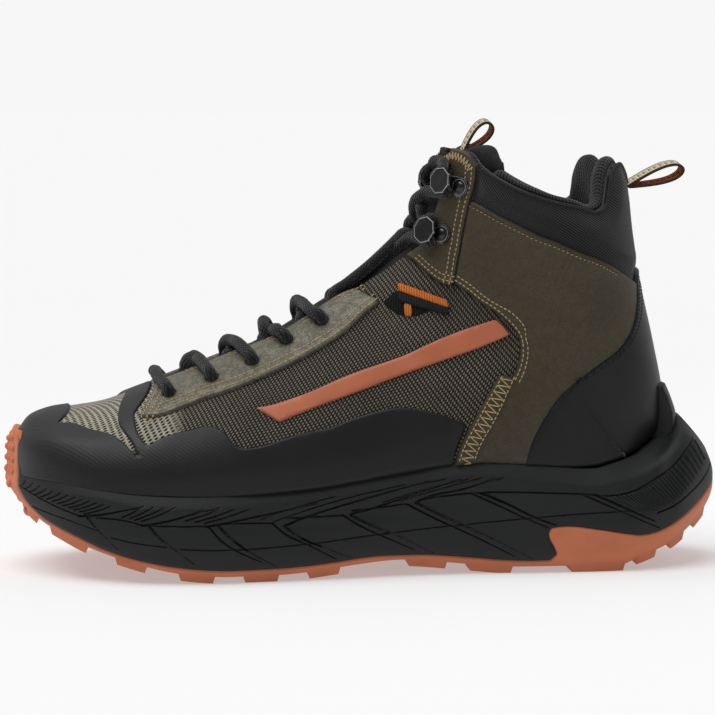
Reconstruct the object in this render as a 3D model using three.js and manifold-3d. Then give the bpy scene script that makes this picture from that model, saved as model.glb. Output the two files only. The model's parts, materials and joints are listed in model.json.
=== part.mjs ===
// A mid-height lace-up hiking boot for the left foot, standing empty on its sole.
// Millimetres. +X runs to the toe, +Y to the outer side of the foot, +Z up.
// The origin is on the floor, in the middle of the heel's flat tread.
import * as THREE from 'three';
import { mergeVertices } from 'three/addons/utils/BufferGeometryUtils.js';
import Module from 'manifold-3d';

const wasm = await Module();
wasm.setup();

// Driving sizes.
const UPPER_LENGTH = 280;
const HEEL_TO_ORIGIN = 31.5;
const BALL_WIDTH = 102;
const SHAFT_HEIGHT = 143;
const STACK = 34;
const UPPER_WALL = 2.5;
const CLEARANCE = 0.3;
const LEATHER = 1.3;
const FILM = 0.7;
const TAPE = 1.5;
const THROAT_GAP = 13;
const TONGUE_THICKNESS = 4;
const TONGUE_HALF_WIDTH = 24;
const TONGUE_PADDING = 11;
const COLLAR_PADDING = 7;
const INSOLE_THICKNESS = 3.5;
const OUTSOLE_SKIN = 3;
const TREAD_PLATE = 2.4;
const LUG_DEPTH = 2.8;
const GROOVE_DEPTH = 1.2;
const GROOVE_WIDTH = 1.5;
const LACE_DIAMETER = 5;
const HOOK_PLATE = 1.2;
const HOOK_HEAD = 10;
const HOOK_RIVET = 4.2;
const HOOK_NECK = 5;
const HOOK_REACH = 7.6;
const HOOK_SIDES = 8;
const LOOP_LENGTH = 27;
const LOOP_HEIGHT = 11;
const LOOP_WIDTH = 9;
const RIBBON = 1.8;

// Sections of the upper from toe to collar. Each one is a line in the side view, from a lower
// end to an upper end, with the half widths beside it. Places along the foot are shares of the
// upper's length, places across are shares of the ball's width, heights are shares of the shaft's
// height above the stack, and a lower end without a height lies on the foot bed.
const ON_BED = null;
const UPPER_COLUMNS = ['lowX', 'lowZ', 'topX', 'topZ', 'lowOut', 'wideOut', 'lowIn', 'wideIn',
  'widest', 'ridge', 'crown'];
const UPPER_SECTIONS = [
  [1.000, ON_BED, 1.000, 0.140, -0.098, -0.098, 0.098, 0.098, 0.40, -0.098, 2.20],
  [0.989, ON_BED, 0.989, 0.208, 0.098, 0.108, 0.233, 0.245, 0.40, -0.098, 2.20],
  [0.956, ON_BED, 0.956, 0.240, 0.262, 0.283, 0.348, 0.369, 0.36, -0.095, 2.20],
  [0.908, ON_BED, 0.908, 0.255, 0.372, 0.400, 0.425, 0.451, 0.33, -0.085, 2.10],
  [0.850, ON_BED, 0.850, 0.273, 0.422, 0.456, 0.456, 0.485, 0.31, -0.075, 2.00],
  [0.748, ON_BED, 0.766, 0.332, 0.470, 0.500, 0.451, 0.495, 0.30, -0.055, 1.85],
  [0.648, ON_BED, 0.684, 0.406, 0.475, 0.505, 0.392, 0.451, 0.30, -0.040, 1.75],
  [0.541, ON_BED, 0.605, 0.486, 0.441, 0.466, 0.324, 0.387, 0.28, -0.030, 1.65],
  [0.427, ON_BED, 0.530, 0.580, 0.392, 0.417, 0.294, 0.358, 0.27, -0.025, 1.60],
  [0.298, ON_BED, 0.473, 0.633, 0.353, 0.377, 0.299, 0.353, 0.30, -0.020, 1.60],
  [0.141, ON_BED, 0.420, 0.713, 0.309, 0.363, 0.309, 0.358, 0.36, -0.015, 1.65],
  [0.077, ON_BED, 0.407, 0.755, 0.253, 0.363, 0.253, 0.360, 0.40, -0.012, 1.70],
  [0.039, ON_BED, 0.396, 0.797, 0.130, 0.363, 0.130, 0.363, 0.42, -0.010, 1.75],
  [0.029, 0.000, 0.3875, 0.832, 0, 0.365, 0, 0.365, 0.44, -0.008, 1.80],
  [0.006, 0.140, 0.377, 0.874, 0, 0.367, 0, 0.367, 0.45, -0.006, 1.85],
  [0.004, 0.266, 0.368, 0.916, 0, 0.369, 0, 0.369, 0.46, -0.004, 1.90],
  [0.018, 0.413, 0.360, 0.958, 0, 0.373, 0, 0.373, 0.48, 0, 1.90],
  [0.0375, 0.580, 0.352, 1.000, 0, 0.378, 0, 0.378, 0.50, 0, 1.95],
  [0.0535, 0.727, 0.345, 1.035, 0, 0.382, 0, 0.382, 0.52, 0, 2.00],
  [0.062, 0.867, 0.3375, 1.070, 0, 0.387, 0, 0.387, 0.54, 0, 2.00],
  [0.070, 1.021, 0.330, 1.112, 0, 0.390, 0, 0.390, 0.55, 0, 2.00],
];
const MIRRORED_AT_TOE = new Set(['lowOut', 'wideOut', 'lowIn', 'wideIn']);
const FIRST_CLOSED_SECTION = 13;

// The foot bed's height along the upper: a share of its length, then a share of the stack.
const FOOT_BED = [
  [0.00, 1.00], [0.20, 0.97], [0.33, 0.91], [0.43, 0.82], [0.54, 0.74],
  [0.65, 0.71], [0.75, 0.72], [0.85, 0.79], [0.93, 0.91], [1.00, 1.08],
];

// Sections of the sole from heel to toe, in shares of the same length, width and stack. The side
// leaves the base, tucked in below its widest line, and ends at the rim that holds the upper.
const SOLE_COLUMNS = ['baseX', 'rimX', 'baseZ', 'rimZ', 'wideOut', 'wideIn', 'tuck', 'lip'];
const SOLE_SECTIONS = [
  [-0.080, -0.080, 1.00, 1.22, 0, 0, 0, 0],
  [-0.065, -0.064, 0.78, 1.47, 0.150, 0.150, 0.050, 0.065],
  [-0.034, -0.038, 0.555, 1.79, 0.270, 0.270, 0.062, 0.140],
  [0.005, -0.010, 0.345, 2.18, 0.355, 0.355, 0.060, 0.210],
  [0.040, 0.004, 0.225, 2.27, 0.390, 0.388, 0.055, 0.235],
  [0.068, 0.016, 0.150, 1.62, 0.410, 0.405, 0.050, 0.235],
  [0.090, 0.050, 0.082, 1.49, 0.425, 0.417, 0.050, 0.140],
  [0.115, 0.100, 0.080, 1.36, 0.430, 0.422, 0.045, 0.062],
  [0.150, 0.150, 0.080, 1.30, 0.432, 0.424, 0.042, 0.035],
  [0.270, 0.270, 0.080, 1.38, 0.420, 0.400, 0.040, 0.018],
  [0.327, 0.327, 0.118, 1.40, 0.415, 0.385, 0.040, 0.014],
  [0.420, 0.420, 0.195, 1.32, 0.430, 0.380, 0.040, 0.012],
  [0.480, 0.480, 0.180, 1.24, 0.458, 0.393, 0.040, 0.012],
  [0.560, 0.560, 0.110, 1.15, 0.495, 0.437, 0.040, 0.012],
  [0.606, 0.606, 0.080, 1.12, 0.515, 0.470, 0.041, 0.012],
  [0.648, 0.648, 0.080, 1.095, 0.533, 0.502, 0.042, 0.012],
  [0.712, 0.712, 0.080, 1.065, 0.550, 0.540, 0.044, 0.012],
  [0.780, 0.780, 0.140, 1.065, 0.540, 0.560, 0.044, 0.012],
  [0.845, 0.845, 0.275, 1.095, 0.500, 0.552, 0.044, 0.012],
  [0.902, 0.902, 0.425, 1.16, 0.427, 0.515, 0.044, 0.013],
  [0.938, 0.938, 0.560, 1.20, 0.350, 0.462, 0.044, 0.014],
  [0.966, 0.966, 0.680, 1.235, 0.262, 0.400, 0.044, 0.016],
  [0.987, 0.985, 0.810, 1.29, 0.170, 0.325, 0.040, 0.020],
  [1.002, 0.999, 0.970, 1.74, 0.060, 0.235, 0.030, 0.030],
  [1.014, 1.0125, 1.130, 1.56, -0.098, 0.098, 0, 0],
];
// The side's shape: a share of its height, then how much of the tuck or the lip is taken there.
const SOLE_PROFILE = [[0, 1, 0], [0.14, 0.25, 0], [0.42, 0, 0.03], [0.76, 0, 0.4], [1, 0, 1]];

// The line between the outsole's rubber and the foam above it, in shares of length and stack,
// from the toe bumper to the heel, where a patch with a hooked front end climbs the side.
const RUBBER_LINE = [
  [1.030, 2.10], [0.995, 2.10], [0.9965, 1.55], [0.995, 1.07], [0.984, 0.89], [0.970, 0.75],
  [0.941, 0.62], [0.912, 0.52], [0.884, 0.415], [0.855, 0.333], [0.812, 0.25], [0.766, 0.19],
  [0.709, 0.150], [0.648, 0.150], [0.573, 0.172], [0.527, 0.206], [0.480, 0.250], [0.434, 0.252],
  [0.391, 0.245], [0.345, 0.215], [0.284, 0.168], [0.238, 0.146], [0.205, 0.150], [0.196, 0.235],
  [0.200, 0.325], [0.207, 0.425], [0.209, 0.510], [0.205, 0.572], [0.191, 0.588], [0.130, 0.541],
  [0.084, 0.476], [0.066, 0.456], [0.041, 0.480], [-0.002, 0.630], [-0.038, 0.818],
  [-0.073, 1.027], [-0.110, 1.15],
];
const BELOW_FLOOR = -STACK;
const BEHIND_BUMPER = [[-1.000, -1.000], [0.980, -1.000], [0.980, 3.000], [-1.000, 3.000]];

// Rows of lugs: from and to along the length, the middle blocks' reach to the outer and inner
// side in shares of the ball's width, and how far the edge blocks start from the middle line.
const LUG_COLUMNS = ['from', 'to', 'middle', 'edge'];
const LUG_ROWS = [
  [-0.056, -0.030, 0, 0.020], [-0.014, 0.014, 0.090, 0.150], [0.034, 0.070, 0.110, 0.170],
  [0.086, 0.172, 0.140, 0.210], [0.259, 0.327, 0.150, 0.205], [0.359, 0.420, 0.110, 0.165],
  [0.523, 0.573, 0.170, 0.225], [0.616, 0.670, 0.190, 0.250], [0.712, 0.766, 0.200, 0.265],
  [0.812, 0.859, 0.180, 0.250], [0.898, 0.955, 0.150, 0.215], [0.970, 0.990, 0.060, 0.120],
];
const LUG_SKEW = 0.012;

// Grooves of the sole's side: each chevron's tip, the end of its upper arm and of its lower arm.
const CHEVRON_COLUMNS = ['tipX', 'tipZ', 'upX', 'upZ', 'downX', 'downZ'];
const CHEVRONS = [
  [0.905, 0.86, 0.809, 0.98, 0.855, 0.44], [0.820, 0.73, 0.709, 0.93, 0.741, 0.25],
  [0.712, 0.72, 0.580, 0.97, 0.627, 0.21], [0.620, 0.71, 0.466, 1.03, 0.520, 0.29],
  [0.519, 0.81, 0.420, 1.02, 0.405, 0.36], [0.423, 0.92, 0.340, 1.04, 0.275, 0.28],
];
const HEEL_SLASHES = [[0.313, 1.00, 0.177, 0.61], [0.155, 0.98, 0.052, 0.55]];
const RIB_COUNT = 4;
const RIB_FIRST = [0.120, 1.02, 0.050, 0.76];
const RIB_LAST = [-0.030, 1.62, -0.066, 1.30];

// Outlines in the side view, in shares of the upper's length and of the shaft's height above the
// stack. Those that reach the sole go on down behind its rim.
const INTO_CUP = 0.03;
const COLLAR_LINE = [
  [0.420, 0.960], [0.350, 0.992], [0.338, 1.013], [0.320, 1.000], [0.308, 0.965], [0.280, 0.922],
  [0.252, 0.893], [0.223, 0.873], [0.192, 0.855], [0.161, 0.843], [0.130, 0.829], [0.118, 0.843],
  [0.112, 0.882], [0.108, 0.938], [0.098, 0.972], [0.083, 0.984], [-0.020, 0.984],
];
const ABOVE_COLLAR = [[-0.200, 1.500], [0.420, 1.500]];
const TOE_WRAP = [
  [1.050, INTO_CUP], [1.050, 0.420], [0.816, 0.420], [0.818, 0.330], [0.832, 0.235], [0.826, 0.200],
  [0.812, 0.156], [0.793, 0.176], [0.749, 0.200], [0.712, 0.209], [0.702, 0.201], [0.677, 0.154],
  [0.659, 0.153], [0.621, 0.170], [0.586, 0.190], [0.541, 0.204], [0.510, 0.226], [0.464, 0.249],
  [0.433, 0.257], [0.403, 0.250], [0.358, 0.226], [0.333, 0.207], [0.352, 0.101], [0.356, INTO_CUP],
];
const TOE_WINDOW = [
  [0.941, 0.223], [0.930, 0.300], [0.905, 0.420], [0.835, 0.420], [0.838, 0.320], [0.851, 0.246],
  [0.853, 0.228], [0.827, 0.143], [0.823, 0.129], [0.854, 0.191], [0.895, 0.205], [0.923, 0.219],
];
const EYESTAY = [
  [0.822, 0.228], [0.791, 0.235], [0.761, 0.255], [0.731, 0.277], [0.686, 0.305], [0.641, 0.338],
  [0.595, 0.376], [0.548, 0.422], [0.509, 0.469], [0.477, 0.520], [0.452, 0.558], [0.470, 0.640],
  [0.500, 0.660], [0.560, 0.680], [0.700, 0.560], [0.806, 0.420], [0.807, 0.330],
];
const QUARTER = [
  [0.334, 0.620], [0.326, 0.590], [0.307, 0.559], [0.286, 0.533], [0.264, 0.495], [0.253, 0.466],
  [0.250, 0.436], [0.256, 0.362], [0.250, 0.340], [0.2775, 0.231], [0.312, 0.103],
  [0.3155, INTO_CUP], [0.257, INTO_CUP], [0.243, 0.133],
  [0.227, 0.185], [0.212, 0.238], [0.200, 0.274], [0.182, 0.318], [0.159, 0.356], [0.128, 0.396],
  [0.104, 0.418], [0.081, 0.461], [0.069, 0.504], [0.063, 0.561], [0.060, 0.619], [0.093, 0.653],
  [0.128, 0.686], [0.161, 0.710], [0.192, 0.738], [0.223, 0.762], [0.251, 0.790], [0.279, 0.818],
  [0.302, 0.845], [0.310, 0.862], [0.323, 0.743],
];
const HOOK_PANEL = [
  [0.420, 1.100], [0.307, 1.100], [0.307, 0.960], [0.309, 0.906], [0.315, 0.862], [0.328, 0.743],
  [0.340, 0.625], [0.343, 0.604], [0.364, 0.615], [0.384, 0.646], [0.398, 0.674], [0.440, 0.710],
];
const SEAM_STRIP = [
  [0.3535, INTO_CUP], [0.3495, 0.101], [0.312, 0.247], [0.281, 0.349], [0.2535, 0.340],
  [0.281, 0.231], [0.3155, 0.103], [0.319, INTO_CUP],
];
const HEEL_COUNTER = [
  [0.253, INTO_CUP], [0.233, 0.156], [0.212, 0.232], [0.190, 0.292], [0.167, 0.332], [0.128, 0.383],
  [0.096, 0.425], [0.074, 0.475], [0.062, 0.530], [0.057, 0.575], [0.052, 0.630], [0.045, 0.655],
  [0.045, 0.723], [-0.100, 0.723], [-0.100, INTO_CUP],
];
const TRIM_BAND = [
  [0.655, 0.262], [0.642, 0.252], [0.617, 0.222], [0.560, 0.262], [0.501, 0.300], [0.431, 0.347],
  [0.370, 0.387], [0.309, 0.427], [0.264, 0.465], [0.268, 0.478], [0.284, 0.512], [0.353, 0.464],
  [0.429, 0.401], [0.506, 0.352], [0.583, 0.294], [0.641, 0.264],
];
const WEBBING = [[0.424, 0.606], [0.352, 0.563], [0.345, 0.530], [0.358, 0.522], [0.425, 0.563]];

const TONGUE_PAD = [[0.400, 0.760], [0.400, 1.100], [0.200, 1.100], [0.200, 0.880]];
const COLLAR_BAND = [
  [0.300, 0.952], [0.280, 0.936], [0.252, 0.907], [0.223, 0.887], [0.192, 0.869], [0.161, 0.857],
  [0.136, 0.845], [0.124, 0.860], [0.120, 0.900], [0.116, 0.955], [0.104, 0.990], [0.083, 1.000],
  [-0.020, 1.000], [-0.020, 0.680], [0.100, 0.680], [0.300, 0.790],
];

// Eyelets of one side from the toe up, in the side view's shares, and the hooks with the rivet
// that holds each and the head that the lace goes round.
const EYELETS = [[0.773, 0.288], [0.709, 0.334], [0.648, 0.382], [0.594, 0.441], [0.540, 0.499]];
const HOOK_COLUMNS = ['rivetX', 'rivetZ', 'headX', 'headZ'];
const HOOKS = { lower: [0.364, 0.759, 0.386, 0.778], upper: [0.336, 0.899, 0.360, 0.926] };

// Interpolates a table's rows with a smooth curve through each of them.
function tableCurve(rows, columns, mirrored = new Set()) {
  const last = rows.length - 1;
  const across = (i, c) => {
    if (i < 0) return mirrored.has(columns[c]) ? 2 * rows[0][c] - rows[1][c] : rows[1][c];
    if (i > last) return 2 * rows[last][c] - rows[last - 1][c];
    return rows[i][c];
  };
  return (at) => {
    const i = Math.min(Math.max(Math.floor(at), 0), last - 1);
    const t = at - i;
    const row = {};
    columns.forEach((name, c) => {
      const [a, b, d, e] = [across(i - 1, c), across(i, c), across(i + 1, c), across(i + 2, c)];
      row[name] = 0.5 * (2 * b + (d - a) * t + (2 * a - 5 * b + 4 * d - e) * t ** 2
        + (3 * b - a - 3 * d + e) * t ** 3);
    });
    return row;
  };
}

// Reads a two-column table at a place between its rows.
function between(rows, at) {
  for (let i = 1; i < rows.length; i += 1) {
    const [from, to] = [rows[i - 1], rows[i]];
    if (at <= to[0]) return from[1] + (to[1] - from[1]) * (Math.max(at, from[0]) - from[0]) / (to[0] - from[0]);
  }
  return rows.at(-1)[1];
}

const alongFoot = (share) => share * UPPER_LENGTH - HEEL_TO_ORIGIN;
const upShaft = (share) => STACK + share * SHAFT_HEIGHT;

const upperRows = UPPER_SECTIONS.map((row) => UPPER_COLUMNS.map((name, c) => {
  const value = row[c];
  if (name === 'lowZ') return value === ON_BED ? STACK * between(FOOT_BED, row[0]) : upShaft(value);
  if (name === 'topZ') return upShaft(value);
  if (name === 'lowX' || name === 'topX') return alongFoot(value);
  return ['widest', 'crown'].includes(name) ? value : value * BALL_WIDTH;
}));
const upperSection = tableCurve(upperRows, UPPER_COLUMNS, MIRRORED_AT_TOE);
const LAST_SECTION = UPPER_SECTIONS.length - 1;

// The upper's outer surface. Across a section the turn goes from 0 at the outer side's lower
// edge over the ridge at 1 to 2 at the inner side's lower edge, and is widest at LOW_TURN.
const LOW_TURN = 0.4;
const RIDGE = 1;
function surface(at, turn) {
  const s = upperSection(at);
  const outer = turn <= RIDGE;
  const way = outer ? turn : 2 * RIDGE - turn;
  const low = outer ? s.lowOut : -s.lowIn;
  const wide = outer ? s.wideOut : -s.wideIn;
  let up;
  let side;
  if (way <= LOW_TURN) {
    const angle = way / LOW_TURN * Math.PI / 2;
    up = s.widest * (1 - Math.cos(angle));
    side = low + (wide - low) * Math.sin(angle);
  } else {
    const angle = (way - LOW_TURN) / (RIDGE - LOW_TURN) * Math.PI / 2;
    up = s.widest + (1 - s.widest) * Math.max(Math.sin(angle), 0) ** (2 / s.crown);
    side = s.ridge + (wide - s.ridge) * Math.max(Math.cos(angle), 0) ** (2 / s.crown);
  }
  return new THREE.Vector3(s.lowX + (s.topX - s.lowX) * up, side, s.lowZ + (s.topZ - s.lowZ) * up);
}

const NUDGE = 0.004;
function outward(at, turn) {
  const on = (value, low, high) => Math.min(Math.max(value, low), high);
  const [a, b] = [on(at - NUDGE, 0, LAST_SECTION), on(at + NUDGE, 0, LAST_SECTION)];
  const [c, d] = [on(turn - NUDGE, 0, 2), on(turn + NUDGE, 0, 2)];
  const along = surface(b, turn).sub(surface(a, turn));
  const around = surface(at, d).sub(surface(at, c));
  return along.cross(around).normalize();
}
const TIP = 0.05;
const FEATHER_TURN = 0.09;
function offSurface(at, turn, offset) {
  const level = Math.max(at, TIP);
  const open = at < FIRST_CLOSED_SECTION;
  const normal = outward(level, open ? Math.min(Math.max(turn, FEATHER_TURN), 2 - FEATHER_TURN) : turn);
  const closed = at >= FIRST_CLOSED_SECTION && (turn === 0 || turn === 2);
  if (at === 0 || closed) normal.add(outward(level, 2 - turn)).normalize();
  return surface(at, turn).addScaledVector(normal, offset);
}

// The section and the turn at which the surface passes a place of the side view.
const HALVINGS = 40;
function onSide(shareX, shareZ, inner = false) {
  const [x, z] = [alongFoot(shareX), upShaft(shareZ)];
  const beside = (at) => {
    const s = upperSection(at);
    return (s.topX - s.lowX) * (z - s.lowZ) - (s.topZ - s.lowZ) * (x - s.lowX);
  };
  let [low, high] = [0.5, LAST_SECTION];
  for (let halving = 0; halving < HALVINGS; halving += 1) {
    const middle = (low + high) / 2;
    if (beside(low) * beside(middle) <= 0) high = middle;
    else low = middle;
  }
  const s = upperSection(low);
  const reach = (s.topX - s.lowX) ** 2 + (s.topZ - s.lowZ) ** 2;
  const share = ((x - s.lowX) * (s.topX - s.lowX) + (z - s.lowZ) * (s.topZ - s.lowZ)) / reach;
  let turn;
  if (share <= s.widest) {
    turn = Math.acos(1 - share / s.widest) / (Math.PI / 2) * LOW_TURN;
  } else {
    const rise = Math.min((share - s.widest) / (1 - s.widest), 1) ** (s.crown / 2);
    turn = LOW_TURN + Math.asin(rise) / (Math.PI / 2) * (RIDGE - LOW_TURN);
  }
  return [low, inner ? 2 - turn : turn];
}

// The turn on the outer side at which the surface is a given distance from its ridge line.
function turnBeside(at, distance) {
  const s = upperSection(at);
  const share = Math.min(distance / (s.wideOut - s.ridge), 1) ** (s.crown / 2);
  return LOW_TURN + Math.acos(share) / (Math.PI / 2) * (RIDGE - LOW_TURN);
}

// Solids from faces, and back.
function solidOf(points, triangles) {
  const flat = new Float32Array(points.flatMap((p) => [p.x, p.y, p.z]));
  const geometry = new THREE.BufferGeometry();
  geometry.setAttribute('position', new THREE.BufferAttribute(flat, 3));
  geometry.setIndex(triangles);
  return solidFrom(geometry);
}
function solidFrom(geometry) {
  const bare = geometry.clone();
  bare.deleteAttribute('normal');
  bare.deleteAttribute('uv');
  const merged = mergeVertices(bare, 1e-4);
  return new wasm.Manifold(new wasm.Mesh({
    numProp: 3,
    vertProperties: merged.attributes.position.array,
    triVerts: Uint32Array.from(merged.index.array),
  }));
}
function geometryOf(solid) {
  const mesh = solid.getMesh();
  const geometry = new THREE.BufferGeometry();
  geometry.setAttribute('position', new THREE.BufferAttribute(mesh.vertProperties.slice(), 3));
  geometry.setIndex(new THREE.BufferAttribute(mesh.triVerts.slice(), 1));
  geometry.computeVertexNormals();
  return geometry;
}
const joined = (solids) => solids.reduce((sum, solid) => sum.add(solid));

// The grid that every form of the upper shares, so that their facets stay parallel.
const STEPS = [0, 0.3, 0.6, 1, 1.5, 2, 3, 4, 5, 6, 7, 8, 9, 10, 11.5, FIRST_CLOSED_SECTION, 14.5, 16,
  17.5, 19, LAST_SECTION];
const ALONG = STEPS.length - 1;
const AROUND = 14;
const atStep = (i) => STEPS[i];
const turnStep = (j) => 2 * j / AROUND;
function welded(i, j) {
  if (i === 0) return [0, Math.min(j, AROUND - j)];
  return atStep(i) >= FIRST_CLOSED_SECTION && j === AROUND ? [i, 0] : [i, j];
}
function formGrid(offset) {
  const points = [];
  for (let i = 0; i <= ALONG; i += 1) {
    for (let j = 0; j <= AROUND; j += 1) {
      points.push(offSurface(atStep(i), turnStep(j), offset));
    }
  }
  return points;
}
const gridIndex = (i, j) => {
  const [a, b] = welded(i, j);
  return a * (AROUND + 1) + b;
};
function quad(list, a, b, c, d) {
  if (a !== b && b !== c && a !== c) list.push(a, b, c);
  if (a !== c && c !== d && a !== d) list.push(a, c, d);
}
const OPEN_STEPS = STEPS.indexOf(FIRST_CLOSED_SECTION);

// A skin between two distances from the surface, open underneath and at the top.
function skin(inside, outside) {
  const points = [...formGrid(outside), ...formGrid(inside)];
  const shift = points.length / 2;
  const faces = [];
  for (let i = 0; i < ALONG; i += 1) {
    for (let j = 0; j < AROUND; j += 1) {
      const [a, b, c, d] = [gridIndex(i, j), gridIndex(i + 1, j), gridIndex(i + 1, j + 1), gridIndex(i, j + 1)];
      quad(faces, a, b, c, d);
      quad(faces, shift + a, shift + d, shift + c, shift + b);
    }
    if (i < OPEN_STEPS) {
      const [a, b] = [gridIndex(i, 0), gridIndex(i + 1, 0)];
      const [c, d] = [gridIndex(i, AROUND), gridIndex(i + 1, AROUND)];
      quad(faces, shift + a, shift + b, b, a);
      quad(faces, c, d, shift + d, shift + c);
    }
  }
  for (let j = 0; j < AROUND; j += 1) {
    const [a, b] = [gridIndex(ALONG, j), gridIndex(ALONG, j + 1)];
    quad(faces, a, shift + a, shift + b, b);
  }
  return solidOf(points, faces);
}

// The whole inside of the surface at a distance, its feather edge lowered by a drop.
function core(offset, drop = 0) {
  const points = formGrid(offset);
  for (let i = 0; i < OPEN_STEPS; i += 1) {
    for (const j of [0, AROUND]) points[i * (AROUND + 1) + j].z -= drop;
  }
  const faces = [];
  for (let i = 0; i < ALONG; i += 1) {
    for (let j = 0; j < AROUND; j += 1) {
      quad(faces, gridIndex(i, j), gridIndex(i + 1, j), gridIndex(i + 1, j + 1), gridIndex(i, j + 1));
    }
    if (i < OPEN_STEPS) {
      quad(faces, gridIndex(i, AROUND), gridIndex(i + 1, AROUND), gridIndex(i + 1, 0), gridIndex(i, 0));
    }
  }
  const centre = points.length;
  points.push(surface(LAST_SECTION, 0).add(surface(LAST_SECTION, RIDGE)).multiplyScalar(0.5));
  for (let j = 0; j < AROUND; j += 1) faces.push(gridIndex(ALONG, j), centre, gridIndex(ALONG, j + 1));
  return solidOf(points, faces);
}

// A block over the ridge, from one section to another, that cuts pieces out of the skins.
const PATCH_ACROSS = 4;
const PATCH_REACH = 16;
function ridgePatch(from, to, halfWidth) {
  const inner = STEPS.filter((at) => at > from && at < to);
  const stations = [from, ...inner, to];
  const steps = stations.length - 1;
  const points = [];
  const row = PATCH_ACROSS + 1;
  for (const offset of [PATCH_REACH, -PATCH_REACH]) {
    for (const at of stations) {
      const edge = turnBeside(at, halfWidth(at));
      for (let j = 0; j <= PATCH_ACROSS; j += 1) {
        const side = 2 * j / PATCH_ACROSS - 1;
        points.push(offSurface(at, RIDGE + (RIDGE - edge) * side, offset));
      }
    }
  }
  const index = (i, j) => i * row + j;
  const below = (i, j) => points.length / 2 + index(i, j);
  const faces = [];
  for (let i = 0; i < steps; i += 1) {
    for (let j = 0; j < PATCH_ACROSS; j += 1) {
      quad(faces, index(i, j), index(i + 1, j), index(i + 1, j + 1), index(i, j + 1));
      quad(faces, below(i, j + 1), below(i + 1, j + 1), below(i + 1, j), below(i, j));
    }
    quad(faces, below(i, 0), below(i + 1, 0), index(i + 1, 0), index(i, 0));
    quad(faces, index(i, row - 1), index(i + 1, row - 1), below(i + 1, row - 1), below(i, row - 1));
  }
  for (let j = 0; j < PATCH_ACROSS; j += 1) {
    quad(faces, index(0, j), index(0, j + 1), below(0, j + 1), below(0, j));
    quad(faces, index(steps, j + 1), index(steps, j), below(steps, j), below(steps, j + 1));
  }
  return solidOf(points, faces);
}

// A side-view outline pushed through from one side of the foot to the other.
const FULL_REACH = BALL_WIDTH;
function sidePrism(outline, from = -FULL_REACH, to = FULL_REACH) {
  const shape = new THREE.Shape(outline.map(([x, z]) => new THREE.Vector2(x, z)));
  const geometry = new THREE.ExtrudeGeometry(shape, { depth: to - from, bevelEnabled: false });
  geometry.rotateX(Math.PI / 2);
  geometry.translate(0, to, 0);
  return solidFrom(geometry);
}
const onUpper = (outline) => outline.map(([x, z]) => [alongFoot(x), upShaft(z)]);
const onSole = (outline) => outline.map(([x, z]) => [alongFoot(x), STACK * z]);

// The sole's form: an inset narrows it, a lift raises its base.
const soleRows = SOLE_SECTIONS.map((row) => SOLE_COLUMNS.map((name, c) => {
  if (name === 'baseX' || name === 'rimX') return alongFoot(row[c]);
  return name === 'baseZ' || name === 'rimZ' ? row[c] * STACK : row[c] * BALL_WIDTH;
}));
const SOLE_MIDDLE = alongFoot((SOLE_SECTIONS[0][0] + SOLE_SECTIONS.at(-1)[0]) / 2);
const SOLE_HALF = (SOLE_SECTIONS.at(-1)[0] - SOLE_SECTIONS[0][0]) * UPPER_LENGTH / 2;
function soleForm(inset = 0, lift = 0) {
  const points = [];
  const faces = [];
  const levels = SOLE_PROFILE.length;
  const ring = 2 * levels;
  const last = soleRows.length - 1;
  const shrink = (SOLE_HALF - inset) / SOLE_HALF;
  soleRows.forEach((values, i) => {
    const s = Object.fromEntries(SOLE_COLUMNS.map((name, c) => [name, values[c]]));
    const tip = i === 0 || i === last;
    for (let j = 0; j < ring; j += 1) {
      const outer = j < levels;
      const [up, tuck, lip] = SOLE_PROFILE[outer ? j : ring - 1 - j];
      const half = (outer ? s.wideOut : s.wideIn) - tuck * s.tuck - lip * s.lip - (tip ? 0 : inset);
      const x = s.baseX + (s.rimX - s.baseX) * up;
      const z = s.baseZ + lift + (s.rimZ - s.baseZ - lift) * up;
      points.push(new THREE.Vector3(SOLE_MIDDLE + (x - SOLE_MIDDLE) * shrink, outer ? half : -half, z));
    }
  });
  const index = (i, j) => {
    const around = j % ring;
    const tip = i === 0 || i === last;
    return i * ring + (tip ? Math.min(around, ring - 1 - around) : around);
  };
  for (let i = 0; i < last; i += 1) {
    for (let j = 0; j < ring; j += 1) {
      quad(faces, index(i, j), index(i, j + 1), index(i + 1, j + 1), index(i + 1, j));
    }
  }
  return solidOf(points, faces);
}

// A groove in the side view along two or three points, as a strip bent at the middle one.
function strip(points, width) {
  const line = points.map(([x, z]) => new THREE.Vector2(x, z));
  const legs = line.slice(1).map((point, i) => point.clone().sub(line[i]).normalize());
  const edge = (side) => line.map((point, i) => {
    const [before, after] = [legs[Math.max(i - 1, 0)], legs[Math.min(i, legs.length - 1)]];
    const along = before.clone().add(after).normalize();
    const reach = side * width / 2 / along.dot(before);
    return [point.x - along.y * reach, point.y + along.x * reach];
  });
  return sidePrism([...edge(1), ...edge(-1).reverse()]);
}
function chevron(row) {
  const c = Object.fromEntries(CHEVRON_COLUMNS.map((name, i) => [name, row[i]]));
  return strip(onSole([[c.upX, c.upZ], [c.tipX, c.tipZ], [c.downX, c.downZ]]), GROOVE_WIDTH);
}
function ribs() {
  return Array.from({ length: RIB_COUNT }, (_, i) => {
    const share = i / (RIB_COUNT - 1);
    const [topX, topZ, lowX, lowZ] = RIB_FIRST.map((value, k) => value + (RIB_LAST[k] - value) * share);
    return strip(onSole([[topX, topZ], [lowX, lowZ]]), GROOVE_WIDTH);
  });
}
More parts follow.
